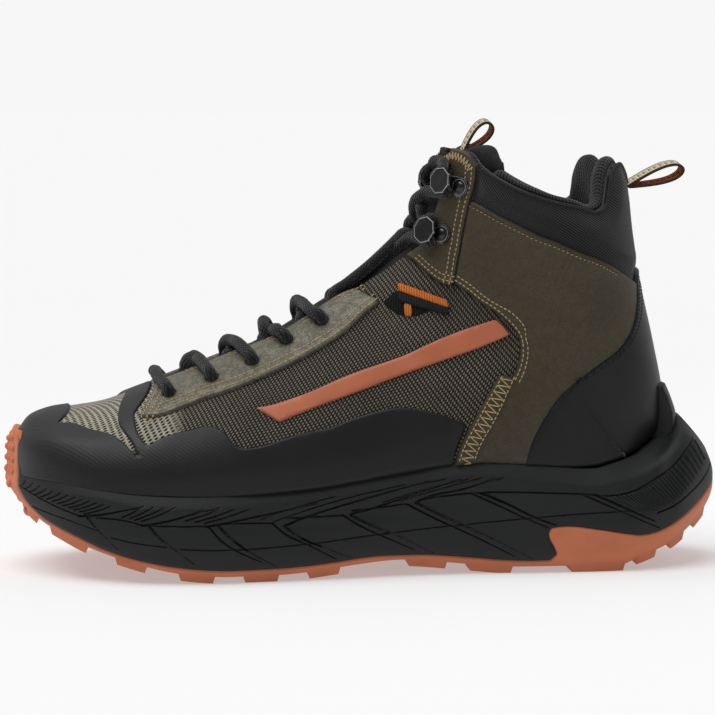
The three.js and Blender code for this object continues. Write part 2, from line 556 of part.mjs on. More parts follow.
function lugs() {
  const blocks = [];
  const block = (from, to, a, b, skew) => {
    const shape = new THREE.Shape([[from, a], [to, a], [to + skew, b], [from + skew, b]]
      .map(([x, y]) => new THREE.Vector2(x, y)));
    const geometry = new THREE.ExtrudeGeometry(shape, { depth: STACK, bevelEnabled: false });
    blocks.push(solidFrom(geometry));
  };
  for (const values of LUG_ROWS) {
    const row = Object.fromEntries(LUG_COLUMNS.map((name, i) => [name, values[i]]));
    const [from, to] = [alongFoot(row.from), alongFoot(row.to)];
    const skew = LUG_SKEW * UPPER_LENGTH;
    const [middle, edge] = [row.middle * BALL_WIDTH, row.edge * BALL_WIDTH];
    if (middle > 0) block(from, to, -middle, middle, 0);
    block(from, to, edge, BALL_WIDTH, skew);
    block(from, to, -BALL_WIDTH, -edge, -skew);
  }
  return joined(blocks);
}

const NUB_RADIUS = 1.9;
const NUB_HEIGHT = 2.2;
const NUB_SIDES = 6;
const NUB_ROWS = 4;
const NUB_COLUMNS = 3;
const NUB_PITCH = 5.6;
const NUB_ROOT = 1.5;
const NUB_TAPER = 0.7;
const BUMPER_RADIUS = 11;
function toeNubs() {
  const tip = soleRows.at(-1);
  const [x, low, high] = [Math.max(tip[0], tip[1]), tip[2], tip[3]];
  const nubs = [];
  for (let row = 0; row < NUB_ROWS; row += 1) {
    for (let column = 0; column < NUB_COLUMNS; column += 1) {
      const aside = (column - (NUB_COLUMNS - 1) / 2) * NUB_PITCH;
      const length = NUB_HEIGHT + NUB_ROOT;
      const nub = new THREE.CylinderGeometry(NUB_RADIUS * NUB_TAPER, NUB_RADIUS, length, NUB_SIDES);
      nub.rotateZ(-Math.PI / 2);
      const z = low + (high - low) * row / (NUB_ROWS - 1);
      const setBack = aside ** 2 / (2 * BUMPER_RADIUS);
      nub.translate(x - NUB_ROOT - setBack + length / 2, tip[4] + aside, z);
      nubs.push(solidFrom(nub));
    }
  }
  return joined(nubs);
}

// Forms that several pieces share.
const SIDE_OVERLAY = CLEARANCE + LEATHER;
const CUP_CLEARANCE = SIDE_OVERLAY + CLEARANCE;
const THROAT_FROM = 4.7;
const TONGUE_FROM = 4;
const TONGUE_TO = 17.9;
const RAISED_START = 0.6;
const RAISED_MARGIN = 1.5;
const BESIDE_TONGUE = 2;
const THROAT_START = 0.6;
const THROAT_WIDENING = 0.2;
const TONGUE_WIDENING = 0.1;
const throatHalf = (at) => THROAT_GAP * Math.min(1, THROAT_START + THROAT_WIDENING * (at - THROAT_FROM));
const throat = ridgePatch(THROAT_FROM, LAST_SECTION, throatHalf);
const aboveCollar = sidePrism(onUpper([...COLLAR_LINE, ...ABOVE_COLLAR]));
const cup = core(CUP_CLEARANCE, CLEARANCE);
const filmSkin = skin(CLEARANCE, CLEARANCE + FILM);
const leatherSkin = skin(CLEARANCE, SIDE_OVERLAY);
const topSkin = skin(CLEARANCE, CLEARANCE + TAPE);

function overlay(layer, outline, side) {
  const half = { both: [-FULL_REACH, FULL_REACH], outer: [0, FULL_REACH], inner: [-FULL_REACH, 0] }[side];
  return layer.intersect(sidePrism(onUpper(outline), ...half)).subtract(throat).subtract(aboveCollar);
}

// A tube of a few sides that bends only at its points, as a closed solid.
const LACE_SIDES = 5;
class Route extends THREE.Curve {
  constructor(points) {
    super();
    this.points = points;
  }
  getPoint(share, target = new THREE.Vector3()) {
    const along = share * (this.points.length - 1);
    const leg = Math.min(Math.floor(along), this.points.length - 2);
    return target.lerpVectors(this.points[leg], this.points[leg + 1], along - leg);
  }
  getPointAt(share, target) {
    return this.getPoint(share, target);
  }
  getTangentAt(share, target) {
    return this.getTangent(share, target);
  }
}
function tube(points, diameter) {
  const shape = new THREE.Shape(Array.from({ length: LACE_SIDES }, (_, k) => {
    const angle = 2 * Math.PI * k / LACE_SIDES;
    return new THREE.Vector2(Math.cos(angle), Math.sin(angle)).multiplyScalar(diameter / 2);
  }));
  return solidFrom(new THREE.ExtrudeGeometry(shape, {
    steps: points.length - 1, bevelEnabled: false, extrudePath: new Route(points),
  }));
}

// A ribbon bent into a drop, its ends together at the origin and its round end along +X.
const LOOP_POINTS = 12;
const LOOP_ROOT = 0.24;
function ribbonLoop() {
  const drop = (inset) => Array.from({ length: LOOP_POINTS }, (_, k) => {
    const angle = -Math.PI + 2 * Math.PI * (k + 0.5) / LOOP_POINTS;
    const reach = LOOP_LENGTH / 2 - inset;
    const pinch = THREE.MathUtils.lerp(1, LOOP_ROOT, (1 - Math.cos(angle)) / 2);
    const rise = (LOOP_HEIGHT / 2 - inset) * Math.sin(angle) * pinch;
    return new THREE.Vector2(LOOP_LENGTH / 2 + reach * Math.cos(angle), rise);
  });
  const shape = new THREE.Shape(drop(0));
  shape.holes.push(new THREE.Path(drop(RIBBON)));
  const geometry = new THREE.ExtrudeGeometry(shape, { depth: LOOP_WIDTH, bevelEnabled: false });
  geometry.translate(0, 0, -LOOP_WIDTH / 2);
  geometry.rotateX(Math.PI / 2);
  return geometry;
}

// A hook's place: its base point off the panel, the way to its head and the way out.
function hookFrame(name, inner) {
  const h = Object.fromEntries(HOOK_COLUMNS.map((column, i) => [column, HOOKS[name][i]]));
  const [rivetAt, rivetTurn] = onSide(h.rivetX, h.rivetZ, inner);
  const base = offSurface(rivetAt, rivetTurn, SIDE_OVERLAY + CLEARANCE);
  const out = outward(rivetAt, rivetTurn);
  const head = surface(...onSide(h.headX, h.headZ, inner)).sub(base);
  const forward = head.addScaledVector(out, -head.dot(out));
  const reach = forward.length();
  return { base, out, forward: forward.normalize(), reach };
}

// A hook: a plate with its rivet, a neck and a round head that stands off the panel.
function hook(name, inner) {
  const { base, out, forward, reach } = hookFrame(name, inner);
  const frame = new THREE.Matrix4().makeBasis(forward, out.clone().cross(forward), out).setPosition(base);
  const disc = (radius, height, x, z) => {
    const geometry = new THREE.CylinderGeometry(radius, radius, height, HOOK_SIDES);
    geometry.rotateX(Math.PI / 2);
    geometry.translate(x, 0, z + height / 2);
    return geometry;
  };
  const bar = (from, to, width, height) => {
    const geometry = new THREE.BoxGeometry(to - from, width, height);
    geometry.translate((from + to) / 2, 0, height / 2);
    return geometry;
  };
  const pieces = [
    disc(HOOK_RIVET, HOOK_PLATE, 0, 0),
    bar(0, reach, HOOK_NECK, HOOK_PLATE),
    bar(reach - HOOK_PLATE, reach, HOOK_NECK, HOOK_REACH),
    disc(HOOK_HEAD / 2, HOOK_PLATE, reach, HOOK_REACH - HOOK_PLATE / 2),
  ];
  return joined(pieces.map((piece) => solidFrom(piece.applyMatrix4(frame))));
}

// The lace as crossings over the tongue, through the eyelets and to the necks of the hooks, all
// joined and clear of the rest.
const LACE_LIFT = LACE_DIAMETER / 2 + 3 * CLEARANCE;
const RIDGE_RISE = 3.5;
function lace() {
  const rise = SIDE_OVERLAY + LACE_LIFT + CLEARANCE;
  const eyelet = (i, inner) => offSurface(...onSide(...EYELETS[i], inner), rise);
  const atNeck = (name, inner) => {
    const { base, out, forward, reach } = hookFrame(name, inner);
    const halfRoom = (HOOK_PLATE + HOOK_REACH - HOOK_PLATE / 2) / 2;
    return base.addScaledVector(out, halfRoom).addScaledVector(forward, reach + LACE_DIAMETER / 2 + CLEARANCE);
  };
  const overTongue = (from, to, aside = 0) => {
    const middle = from.clone().add(to).multiplyScalar(0.5);
    const [at] = onSide((middle.x + HEEL_TO_ORIGIN) / UPPER_LENGTH, (middle.z - STACK) / SHAFT_HEIGHT);
    return offSurface(at, RIDGE, rise + RIDGE_RISE).add(new THREE.Vector3(0, aside, 0));
  };
  const stops = [
    ...EYELETS.map((_, i) => (inner) => eyelet(i, inner)),
    ...Object.keys(HOOKS).map((name) => (inner) => atNeck(name, inner)),
  ];
  // One half of the lace: from the middle of the lowest bar, side to side up to the highest bar.
  const strand = (startInner) => {
    const inner = (i) => (i % 2 === 0) === startInner;
    const overlap = (i) => (inner(i) ? 1 : -1) * LACE_DIAMETER / 2;
    const last = stops.length - 1;
    const points = [overTongue(stops[0](false), stops[0](true), overlap(0))];
    stops.forEach((stop, i) => {
      points.push(stop(inner(i)));
      if (i < last) points.push(overTongue(stop(inner(i)), stops[i + 1](inner(i + 1))));
    });
    points.push(overTongue(stops[last](false), stops[last](true), overlap(last)));
    return tube(points, LACE_DIAMETER);
  };
  return strand(false).add(strand(true));
}

// The pieces.
const upper = skin(-UPPER_WALL, 0).subtract(throat).subtract(aboveCollar);

const underUpper = -(UPPER_WALL + CLEARANCE);
const tongueWidth = (grow) => (at) => grow
  + TONGUE_HALF_WIDTH * Math.min(1, THROAT_START + TONGUE_WIDENING * (at - TONGUE_FROM));
const tongueRegion = ridgePatch(TONGUE_FROM, TONGUE_TO, tongueWidth(0));
const raisedRegion = ridgePatch(THROAT_FROM + RAISED_START, TONGUE_TO, (at) => throatHalf(at) - RAISED_MARGIN);
const paddedTop = sidePrism(onUpper(TONGUE_PAD));
const tongue = skin(underUpper - TONGUE_THICKNESS, underUpper).intersect(tongueRegion)
  .add(skin(underUpper - TONGUE_THICKNESS / 2, -CLEARANCE).intersect(raisedRegion))
  .add(skin(underUpper - TONGUE_PADDING, underUpper - TONGUE_THICKNESS / 2)
    .intersect(tongueRegion).intersect(paddedTop));

const collarPad = skin(underUpper - COLLAR_PADDING, underUpper)
  .intersect(sidePrism(onUpper(COLLAR_BAND)))
  .subtract(ridgePatch(FIRST_CLOSED_SECTION, LAST_SECTION, tongueWidth(BESIDE_TONGUE)));

const bedLine = FOOT_BED.map(([share, z]) => [alongFoot(share), STACK * z + CLEARANCE]);
const insole = core(underUpper - CLEARANCE).intersect(sidePrism([
  ...bedLine,
  ...bedLine.map(([x, z]) => [x, z + INSOLE_THICKNESS]).reverse(),
]));

const rubber = onSole(RUBBER_LINE);
const rubberRegion = (forward, raise) => sidePrism([
  ...rubber.map(([x, z]) => [x + forward, z + raise]),
  [rubber.at(-1)[0] + forward, BELOW_FLOOR], [rubber[0][0] + forward, BELOW_FLOOR],
]);
const rubberAndGap = joined([[CLEARANCE, 0], [-CLEARANCE, 0], [0, CLEARANCE], [0, 0]]
  .map(([forward, raise]) => rubberRegion(forward, raise)));
const wholeSole = soleForm();
const sideGrooves = joined([
  ...CHEVRONS.map(chevron), ...ribs(),
  ...HEEL_SLASHES.map(([topX, topZ, lowX, lowZ]) => strip(onSole([[topX, topZ], [lowX, lowZ]]), GROOVE_WIDTH)),
]).subtract(soleForm(GROOVE_DEPTH));
const foamBehindRubber = soleForm(OUTSOLE_SKIN + CLEARANCE, TREAD_PLATE + CLEARANCE)
  .intersect(sidePrism(onSole(BEHIND_BUMPER)));
const midsole = wholeSole
  .subtract(rubberAndGap.subtract(foamBehindRubber))
  .subtract(sideGrooves)
  .subtract(cup);

const aboveFloor = sidePrism(onSole([[-1, 0], [2, 0], [2, 3], [-1, 3]]));
const treadBlocks = lugs().intersect(wholeSole.translate([0, 0, -LUG_DEPTH]));
const outsole = wholeSole.add(treadBlocks).add(toeNubs())
  .intersect(rubberRegion(0, 0))
  .subtract(soleForm(OUTSOLE_SKIN, TREAD_PLATE))
  .subtract(cup)
  .intersect(aboveFloor);

// The pull loops: where each is held, and how far it is turned up from level.
const HEEL_LOOP_AT = 19.2;
const HEEL_LOOP_RISE = 0.31;
const TONGUE_LOOP_RISE = 0.8;
const heelRoot = offSurface(HEEL_LOOP_AT, 0, 0);
const tongueRoot = offSurface(TONGUE_TO, RIDGE, underUpper - TONGUE_PADDING / 2)
  .add(new THREE.Vector3(-Math.cos(TONGUE_LOOP_RISE), 0, Math.sin(TONGUE_LOOP_RISE))
    .multiplyScalar(2 * CLEARANCE));

const looks = {
  rubber: { color: 0xb86e52, roughness: 0.7, metalness: 0 },
  foam: { color: 0x2c2d2f, roughness: 0.75, metalness: 0 },
  mesh: { color: 0x4b4a46, roughness: 0.95, metalness: 0 },
  lining: { color: 0x2a2a2d, roughness: 0.95, metalness: 0 },
  film: { color: 0x242527, roughness: 0.6, metalness: 0 },
  leather: { color: 0x544c3c, roughness: 0.6, metalness: 0 },
  counter: { color: 0x262628, roughness: 0.55, metalness: 0 },
  trim: { color: 0xb06242, roughness: 0.6, metalness: 0 },
  tape: { color: 0xe28032, roughness: 0.9, metalness: 0 },
  cord: { color: 0x2b2b2c, roughness: 0.95, metalness: 0 },
  metal: { color: 0x1e1e20, roughness: 0.35, metalness: 0.8 },
};
const boot = new THREE.Group();
function place(name, solid, look) {
  const geometry = solid instanceof THREE.BufferGeometry ? solid : geometryOf(solid);
  const mesh = new THREE.Mesh(geometry, new THREE.MeshStandardMaterial(looks[look]));
  mesh.name = name;
  boot.add(mesh);
  return mesh;
}

place('outsole', outsole, 'rubber');
place('midsole', midsole, 'foam');
place('insole', insole, 'lining');
place('upper', upper, 'mesh');
place('tongue', tongue, 'mesh');
place('collar_pad', collarPad, 'lining');
place('toe_wrap', overlay(leatherSkin, TOE_WRAP, 'both').subtract(sidePrism(onUpper(TOE_WINDOW))), 'film');
place('eyestay', overlay(leatherSkin, EYESTAY, 'both'), 'leather');
place('heel_counter', overlay(leatherSkin, HEEL_COUNTER, 'both'), 'counter');
for (const side of ['outer', 'inner']) {
  place(`quarter_${side}`, overlay(leatherSkin, QUARTER, side), 'leather');
  place(`hook_panel_${side}`, overlay(leatherSkin, HOOK_PANEL, side), 'leather');
  place(`seam_strip_${side}`, overlay(leatherSkin, SEAM_STRIP, side), 'leather');
  place(`trim_band_${side}`, overlay(filmSkin, TRIM_BAND, side), 'trim');
  place(`webbing_${side}`, overlay(topSkin, WEBBING, side), 'tape');
  place(`lower_hook_${side}`, hook('lower', side === 'inner'), 'metal');
  place(`upper_hook_${side}`, hook('upper', side === 'inner'), 'metal');
}
place('lace', lace(), 'cord');

const heelLoop = place('heel_loop', ribbonLoop(), 'tape');
heelLoop.position.copy(heelRoot);
heelLoop.rotation.set(0, Math.PI + HEEL_LOOP_RISE, 0);
const tongueLoop = place('tongue_loop', ribbonLoop(), 'tape');
tongueLoop.position.copy(tongueRoot);
tongueLoop.rotation.set(0, Math.PI + TONGUE_LOOP_RISE, 0);

export default boot;
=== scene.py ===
"""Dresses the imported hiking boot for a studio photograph: one operator for each piece or group
of like pieces, in the frame of the CAD model, where the toe points along +X and +Y is the outer
side of the foot. Lengths in the tables and the helpers are millimetres, meshes are metres."""

import json
import math

import bpy
import numpy as np
from mathutils import Matrix, Vector

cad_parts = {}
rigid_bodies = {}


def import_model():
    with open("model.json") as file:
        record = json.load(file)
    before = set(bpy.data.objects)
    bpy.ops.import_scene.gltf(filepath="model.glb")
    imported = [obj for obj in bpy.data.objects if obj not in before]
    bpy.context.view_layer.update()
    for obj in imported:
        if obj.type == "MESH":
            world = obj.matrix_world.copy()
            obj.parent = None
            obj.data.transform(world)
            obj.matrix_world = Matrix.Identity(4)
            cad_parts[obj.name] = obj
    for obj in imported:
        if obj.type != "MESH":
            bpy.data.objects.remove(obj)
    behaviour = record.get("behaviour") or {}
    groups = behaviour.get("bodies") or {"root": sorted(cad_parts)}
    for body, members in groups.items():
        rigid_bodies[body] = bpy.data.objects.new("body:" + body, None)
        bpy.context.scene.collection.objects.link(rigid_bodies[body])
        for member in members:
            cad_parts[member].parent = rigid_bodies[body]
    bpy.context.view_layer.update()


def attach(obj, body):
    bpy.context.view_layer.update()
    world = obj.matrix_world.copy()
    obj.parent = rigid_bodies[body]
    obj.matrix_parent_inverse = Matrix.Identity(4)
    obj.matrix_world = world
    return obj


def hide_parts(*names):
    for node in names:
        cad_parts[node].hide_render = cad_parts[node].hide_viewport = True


bl_info = {
    "name": "Hiking Boot Dresser",
    "version": (1, 0, 0),
    "blender": (4, 5, 0),
    "location": "View3D > Sidebar > Boot",
    "description": "Adds the sewn, knitted and moulded surfaces of a hiking boot to its solids",
    "category": "Object",
}

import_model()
MM = 0.001

# Driving sizes, the same as the solids'.
UPPER_LENGTH = 280.0
HEEL_TO_ORIGIN = 31.5
BALL_WIDTH = 102.0
SHAFT_HEIGHT = 143.0
STACK = 34.0
UPPER_WALL = 2.5
CLEARANCE = 0.3
LEATHER = 1.3
FILM = 0.7
THROAT_GAP = 13.0
TONGUE_HALF_WIDTH = 24.0
TONGUE_THICKNESS = 4.0
TONGUE_PADDING = 11.0
INSOLE_THICKNESS = 3.5
LUG_DEPTH = 2.8
HOOK_PLATE = 1.2
HOOK_HEAD = 10.0
HOOK_RIVET = 4.2
LOOP_LENGTH = 27.0
LOOP_HEIGHT = 11.0
LOOP_WIDTH = 9.0
RIBBON = 1.8
OVERLAY = CLEARANCE + LEATHER

# Sections of the upper from toe to collar, in shares of its length, its width at the ball and the
# shaft's height. A lower end without a height lies on the foot bed.
UPPER_COLUMNS = ["lowX", "lowZ", "topX", "topZ", "lowOut", "wideOut", "lowIn", "wideIn",
                 "widest", "ridge", "crown"]
UPPER_SECTIONS = [
    [1.000, None, 1.000, 0.140, -0.098, -0.098, 0.098, 0.098, 0.40, -0.098, 2.20],
    [0.989, None, 0.989, 0.208, 0.098, 0.108, 0.233, 0.245, 0.40, -0.098, 2.20],
    [0.956, None, 0.956, 0.240, 0.262, 0.283, 0.348, 0.369, 0.36, -0.095, 2.20],
    [0.908, None, 0.908, 0.255, 0.372, 0.400, 0.425, 0.451, 0.33, -0.085, 2.10],
    [0.850, None, 0.850, 0.273, 0.422, 0.456, 0.456, 0.485, 0.31, -0.075, 2.00],
    [0.748, None, 0.766, 0.332, 0.470, 0.500, 0.451, 0.495, 0.30, -0.055, 1.85],
    [0.648, None, 0.684, 0.406, 0.475, 0.505, 0.392, 0.451, 0.30, -0.040, 1.75],
    [0.541, None, 0.605, 0.486, 0.441, 0.466, 0.324, 0.387, 0.28, -0.030, 1.65],
    [0.427, None, 0.530, 0.580, 0.392, 0.417, 0.294, 0.358, 0.27, -0.025, 1.60],
    [0.298, None, 0.473, 0.633, 0.353, 0.377, 0.299, 0.353, 0.30, -0.020, 1.60],
    [0.141, None, 0.420, 0.713, 0.309, 0.363, 0.309, 0.358, 0.36, -0.015, 1.65],
    [0.077, None, 0.407, 0.755, 0.253, 0.363, 0.253, 0.360, 0.40, -0.012, 1.70],
    [0.039, None, 0.396, 0.797, 0.130, 0.363, 0.130, 0.363, 0.42, -0.010, 1.75],
    [0.029, 0.000, 0.3875, 0.832, 0, 0.365, 0, 0.365, 0.44, -0.008, 1.80],
    [0.006, 0.140, 0.377, 0.874, 0, 0.367, 0, 0.367, 0.45, -0.006, 1.85],
    [0.004, 0.266, 0.368, 0.916, 0, 0.369, 0, 0.369, 0.46, -0.004, 1.90],
    [0.018, 0.413, 0.360, 0.958, 0, 0.373, 0, 0.373, 0.48, 0, 1.90],
    [0.0375, 0.580, 0.352, 1.000, 0, 0.378, 0, 0.378, 0.50, 0, 1.95],
    [0.0535, 0.727, 0.345, 1.035, 0, 0.382, 0, 0.382, 0.52, 0, 2.00],
    [0.062, 0.867, 0.3375, 1.070, 0, 0.387, 0, 0.387, 0.54, 0, 2.00],
    [0.070, 1.021, 0.330, 1.112, 0, 0.390, 0, 0.390, 0.55, 0, 2.00],
]
STRAIGHT_AT_TOE = {"lowOut", "wideOut", "lowIn", "wideIn"}
FIRST_CLOSED_SECTION = 13
LAST_SECTION = len(UPPER_SECTIONS) - 1
FOOT_BED = [
    [0.00, 1.00], [0.20, 0.97], [0.33, 0.91], [0.43, 0.82], [0.54, 0.74],
    [0.65, 0.71], [0.75, 0.72], [0.85, 0.79], [0.93, 0.91], [1.00, 1.08],
]

# Sections of the sole from heel to toe, in shares of the same length, width and stack: the base
# and the rim along the foot, their heights, the outer and inner half width, the tuck and the lip.
SOLE_SECTIONS = [
    [-0.080, -0.080, 1.00, 1.22, 0, 0, 0, 0],
    [-0.065, -0.064, 0.78, 1.47, 0.150, 0.150, 0.050, 0.065],
    [-0.034, -0.038, 0.555, 1.79, 0.270, 0.270, 0.062, 0.140],
    [0.005, -0.010, 0.345, 2.18, 0.355, 0.355, 0.060, 0.210],
    [0.040, 0.004, 0.225, 2.27, 0.390, 0.388, 0.055, 0.235],
    [0.068, 0.016, 0.150, 1.62, 0.410, 0.405, 0.050, 0.235],
    [0.090, 0.050, 0.082, 1.49, 0.425, 0.417, 0.050, 0.140],
    [0.115, 0.100, 0.080, 1.36, 0.430, 0.422, 0.045, 0.062],
    [0.150, 0.150, 0.080, 1.30, 0.432, 0.424, 0.042, 0.035],
    [0.270, 0.270, 0.080, 1.38, 0.420, 0.400, 0.040, 0.018],
    [0.327, 0.327, 0.118, 1.40, 0.415, 0.385, 0.040, 0.014],
    [0.420, 0.420, 0.195, 1.32, 0.430, 0.380, 0.040, 0.012],
    [0.480, 0.480, 0.180, 1.24, 0.458, 0.393, 0.040, 0.012],
    [0.560, 0.560, 0.110, 1.15, 0.495, 0.437, 0.040, 0.012],
    [0.606, 0.606, 0.080, 1.12, 0.515, 0.470, 0.041, 0.012],
    [0.648, 0.648, 0.080, 1.095, 0.533, 0.502, 0.042, 0.012],
    [0.712, 0.712, 0.080, 1.065, 0.550, 0.540, 0.044, 0.012],
    [0.780, 0.780, 0.140, 1.065, 0.540, 0.560, 0.044, 0.012],
    [0.845, 0.845, 0.275, 1.095, 0.500, 0.552, 0.044, 0.012],
    [0.902, 0.902, 0.425, 1.16, 0.427, 0.515, 0.044, 0.013],
    [0.938, 0.938, 0.560, 1.20, 0.350, 0.462, 0.044, 0.014],
    [0.966, 0.966, 0.680, 1.235, 0.262, 0.400, 0.044, 0.016],
    [0.987, 0.985, 0.810, 1.29, 0.170, 0.325, 0.040, 0.020],
    [1.002, 0.999, 0.970, 1.74, 0.060, 0.235, 0.030, 0.030],
    [1.014, 1.0125, 1.130, 1.56, -0.098, 0.098, 0, 0],
]
# The side's shape: a share of its height, then how much of the tuck or the lip is taken there.
SOLE_PROFILE = [[0, 1, 0], [0.14, 0.25, 0], [0.42, 0, 0.03], [0.76, 0, 0.4], [1, 0, 1]]
RUBBER_LINE = [
    [1.030, 2.10], [0.995, 2.10], [0.9965, 1.55], [0.995, 1.07], [0.984, 0.89], [0.970, 0.75],
    [0.941, 0.62], [0.912, 0.52], [0.884, 0.415], [0.855, 0.333], [0.812, 0.25], [0.766, 0.19],
    [0.709, 0.150], [0.648, 0.150], [0.573, 0.172], [0.527, 0.206], [0.480, 0.250], [0.434, 0.252],
    [0.391, 0.245], [0.345, 0.215], [0.284, 0.168], [0.238, 0.146], [0.205, 0.150], [0.196, 0.235],
    [0.200, 0.325], [0.207, 0.425], [0.209, 0.510], [0.205, 0.572], [0.191, 0.588], [0.130, 0.541],
    [0.084, 0.476], [0.066, 0.456], [0.041, 0.480], [-0.002, 0.630], [-0.038, 0.818],
    [-0.073, 1.027], [-0.110, 1.15],
]
LUG_COLUMNS = ["from", "to", "middle", "edge"]
LUG_ROWS = [
    [-0.056, -0.030, 0, 0.020], [-0.014, 0.014, 0.090, 0.150], [0.034, 0.070, 0.110, 0.170],
    [0.086, 0.172, 0.140, 0.210], [0.259, 0.327, 0.150, 0.205], [0.359, 0.420, 0.110, 0.165],
    [0.523, 0.573, 0.170, 0.225], [0.616, 0.670, 0.190, 0.250], [0.712, 0.766, 0.200, 0.265],
    [0.812, 0.859, 0.180, 0.250], [0.898, 0.955, 0.150, 0.215], [0.970, 0.990, 0.060, 0.120],
]
LUG_SKEW = 0.012

# Outlines in the side view, in shares of the upper's length and of the shaft's height.
INTO_CUP = -0.06
COLLAR_LINE = [
    [0.420, 0.960], [0.350, 0.992], [0.338, 1.013], [0.320, 1.000], [0.308, 0.965], [0.280, 0.922],
    [0.252, 0.893], [0.223, 0.873], [0.192, 0.855], [0.161, 0.843], [0.130, 0.829], [0.118, 0.843],
    [0.112, 0.882], [0.106, 0.938], [0.097, 0.966], [0.087, 0.970], [0.077, 0.945], [0.067, 0.908],
    [-0.020, 0.885],
]
ABOVE_COLLAR = [[-0.200, 1.500], [0.420, 1.500]]
TOE_WRAP = [
    [1.050, INTO_CUP], [1.050, 0.420], [0.770, 0.420], [0.797, 0.305], [0.828, 0.238], [0.826, 0.200],
    [0.812, 0.156], [0.793, 0.176], [0.749, 0.200], [0.712, 0.209], [0.702, 0.201], [0.677, 0.154],
    [0.659, 0.153], [0.621, 0.170], [0.586, 0.190], [0.541, 0.204], [0.510, 0.226], [0.464, 0.249],
    [0.433, 0.257], [0.403, 0.250], [0.358, 0.226], [0.333, 0.207], [0.352, 0.101], [0.356, INTO_CUP],
]
TOE_WINDOW = [
    [0.943, 0.215], [0.922, 0.248], [0.905, 0.300], [0.880, 0.420], [0.800, 0.420], [0.827, 0.300],
    [0.850, 0.250],
    [0.853, 0.228], [0.833, 0.160], [0.824, 0.122], [0.858, 0.182], [0.895, 0.205], [0.923, 0.219],
]
EYESTAY = [
    [0.822, 0.228], [0.791, 0.235], [0.761, 0.255], [0.731, 0.277], [0.686, 0.305], [0.641, 0.338],
    [0.595, 0.376], [0.548, 0.422], [0.509, 0.469], [0.477, 0.520], [0.452, 0.558], [0.503, 0.614],
    [0.525, 0.660], [0.560, 0.680], [0.700, 0.560], [0.760, 0.420], [0.788, 0.315],
]
QUARTER = [
    [0.350, 0.622], [0.326, 0.590], [0.307, 0.559], [0.286, 0.533], [0.264, 0.495], [0.253, 0.466],
    [0.250, 0.436], [0.256, 0.362], [0.263, 0.335], [0.290, 0.232], [0.325, 0.104],
    [0.329, INTO_CUP], [0.240, INTO_CUP], [0.228, 0.120],
    [0.212, 0.172], [0.197, 0.222], [0.185, 0.255], [0.170, 0.295], [0.148, 0.335], [0.116, 0.372],
    [0.090, 0.398], [0.066, 0.445], [0.055, 0.495], [0.050, 0.555], [0.047, 0.604], [0.093, 0.653],
    [0.128, 0.686], [0.161, 0.710], [0.192, 0.738], [0.223, 0.762], [0.251, 0.790], [0.279, 0.818],
    [0.302, 0.845], [0.326, 0.870], [0.338, 0.743],
]
HOOK_PANEL = [
    [0.420, 1.100], [0.307, 1.100], [0.307, 0.960], [0.309, 0.906], [0.315, 0.862], [0.328, 0.743],
    [0.340, 0.625], [0.343, 0.604], [0.364, 0.615], [0.384, 0.646], [0.398, 0.674], [0.440, 0.710],
]
SEAM_STRIP = [
    [0.3535, INTO_CUP], [0.3495, 0.101], [0.312, 0.247], [0.281, 0.349], [0.2535, 0.340],
    [0.281, 0.231], [0.3155, 0.103], [0.319, INTO_CUP],
]
HEEL_COUNTER = [
    [0.253, INTO_CUP], [0.233, 0.156], [0.212, 0.232], [0.190, 0.292], [0.167, 0.332], [0.128, 0.383],
    [0.096, 0.425], [0.074, 0.475], [0.062, 0.530], [0.057, 0.575], [0.052, 0.630], [0.045, 0.655],
    [0.045, 0.723], [-0.100, 0.723], [-0.100, INTO_CUP],
]
TRIM_BAND = [
    [0.655, 0.262], [0.642, 0.252], [0.617, 0.222], [0.560, 0.262], [0.501, 0.300], [0.431, 0.347],
    [0.370, 0.387], [0.309, 0.427], [0.264, 0.465], [0.268, 0.478], [0.284, 0.512], [0.353, 0.464],
    [0.429, 0.401], [0.506, 0.352], [0.583, 0.294], [0.641, 0.264],
]
# The textile of the collar, from under the leather quarter up to the rim.
COLLAR_TEXTILE = [
    [0.312, 0.855], [0.302, 0.838], [0.279, 0.811], [0.251, 0.783], [0.223, 0.755], [0.192, 0.731],
    [0.161, 0.703], [0.128, 0.679], [0.093, 0.646], [0.060, 0.612], [0.045, 0.690], [-0.100, 0.690],
    [-0.100, 1.100], [0.311, 1.100], [0.311, 0.960], [0.313, 0.906],
]
# The tapes of the lace guard, and a near-black sheet in the slot between them that paints the shade there.
BLACK_TAPE = [[0.424, 0.585], [0.352, 0.541], [0.352, 0.520], [0.425, 0.556]]
ORANGE_TAPE = [[0.424, 0.612], [0.414, 0.606], [0.352, 0.563], [0.352, 0.540], [0.424, 0.587]]
GUARD_SLOT = [[0.449, 0.555], [0.426, 0.521], [0.404, 0.516], [0.366, 0.551], [0.395, 0.580],
              [0.424, 0.590]]
TAPE_TAB = [[0.418, 0.560], [0.407, 0.556], [0.406, 0.517], [0.418, 0.517]]
EYELETS = [[0.773, 0.288], [0.709, 0.334], [0.648, 0.382], [0.594, 0.441], [0.540, 0.499]]
HOOKS = {"lower": [0.356, 0.753, 0.378, 0.768], "upper": [0.328, 0.897, 0.352, 0.925]}

# The upper's form. Across a section the turn goes from 0 at the outer side's lower edge over the
# ridge at 1 to 2 at the inner side's lower edge, and is widest at LOW_TURN.
LOW_TURN = 0.4
RIDGE = 1.0
NUDGE = 0.004
WIDE_NUDGE = 0.5
TIP = 0.05
FEATHER_TURN = 0.09
JOIN_BLUR = 0.8


def along_foot(share):
    return share * UPPER_LENGTH - HEEL_TO_ORIGIN


def up_shaft(share):
    return STACK + share * SHAFT_HEIGHT


def on_upper(outline):
    return np.array([[along_foot(x), up_shaft(z)] for x, z in outline])


def on_sole(outline):
    return np.array([[along_foot(x), STACK * z] for x, z in outline])


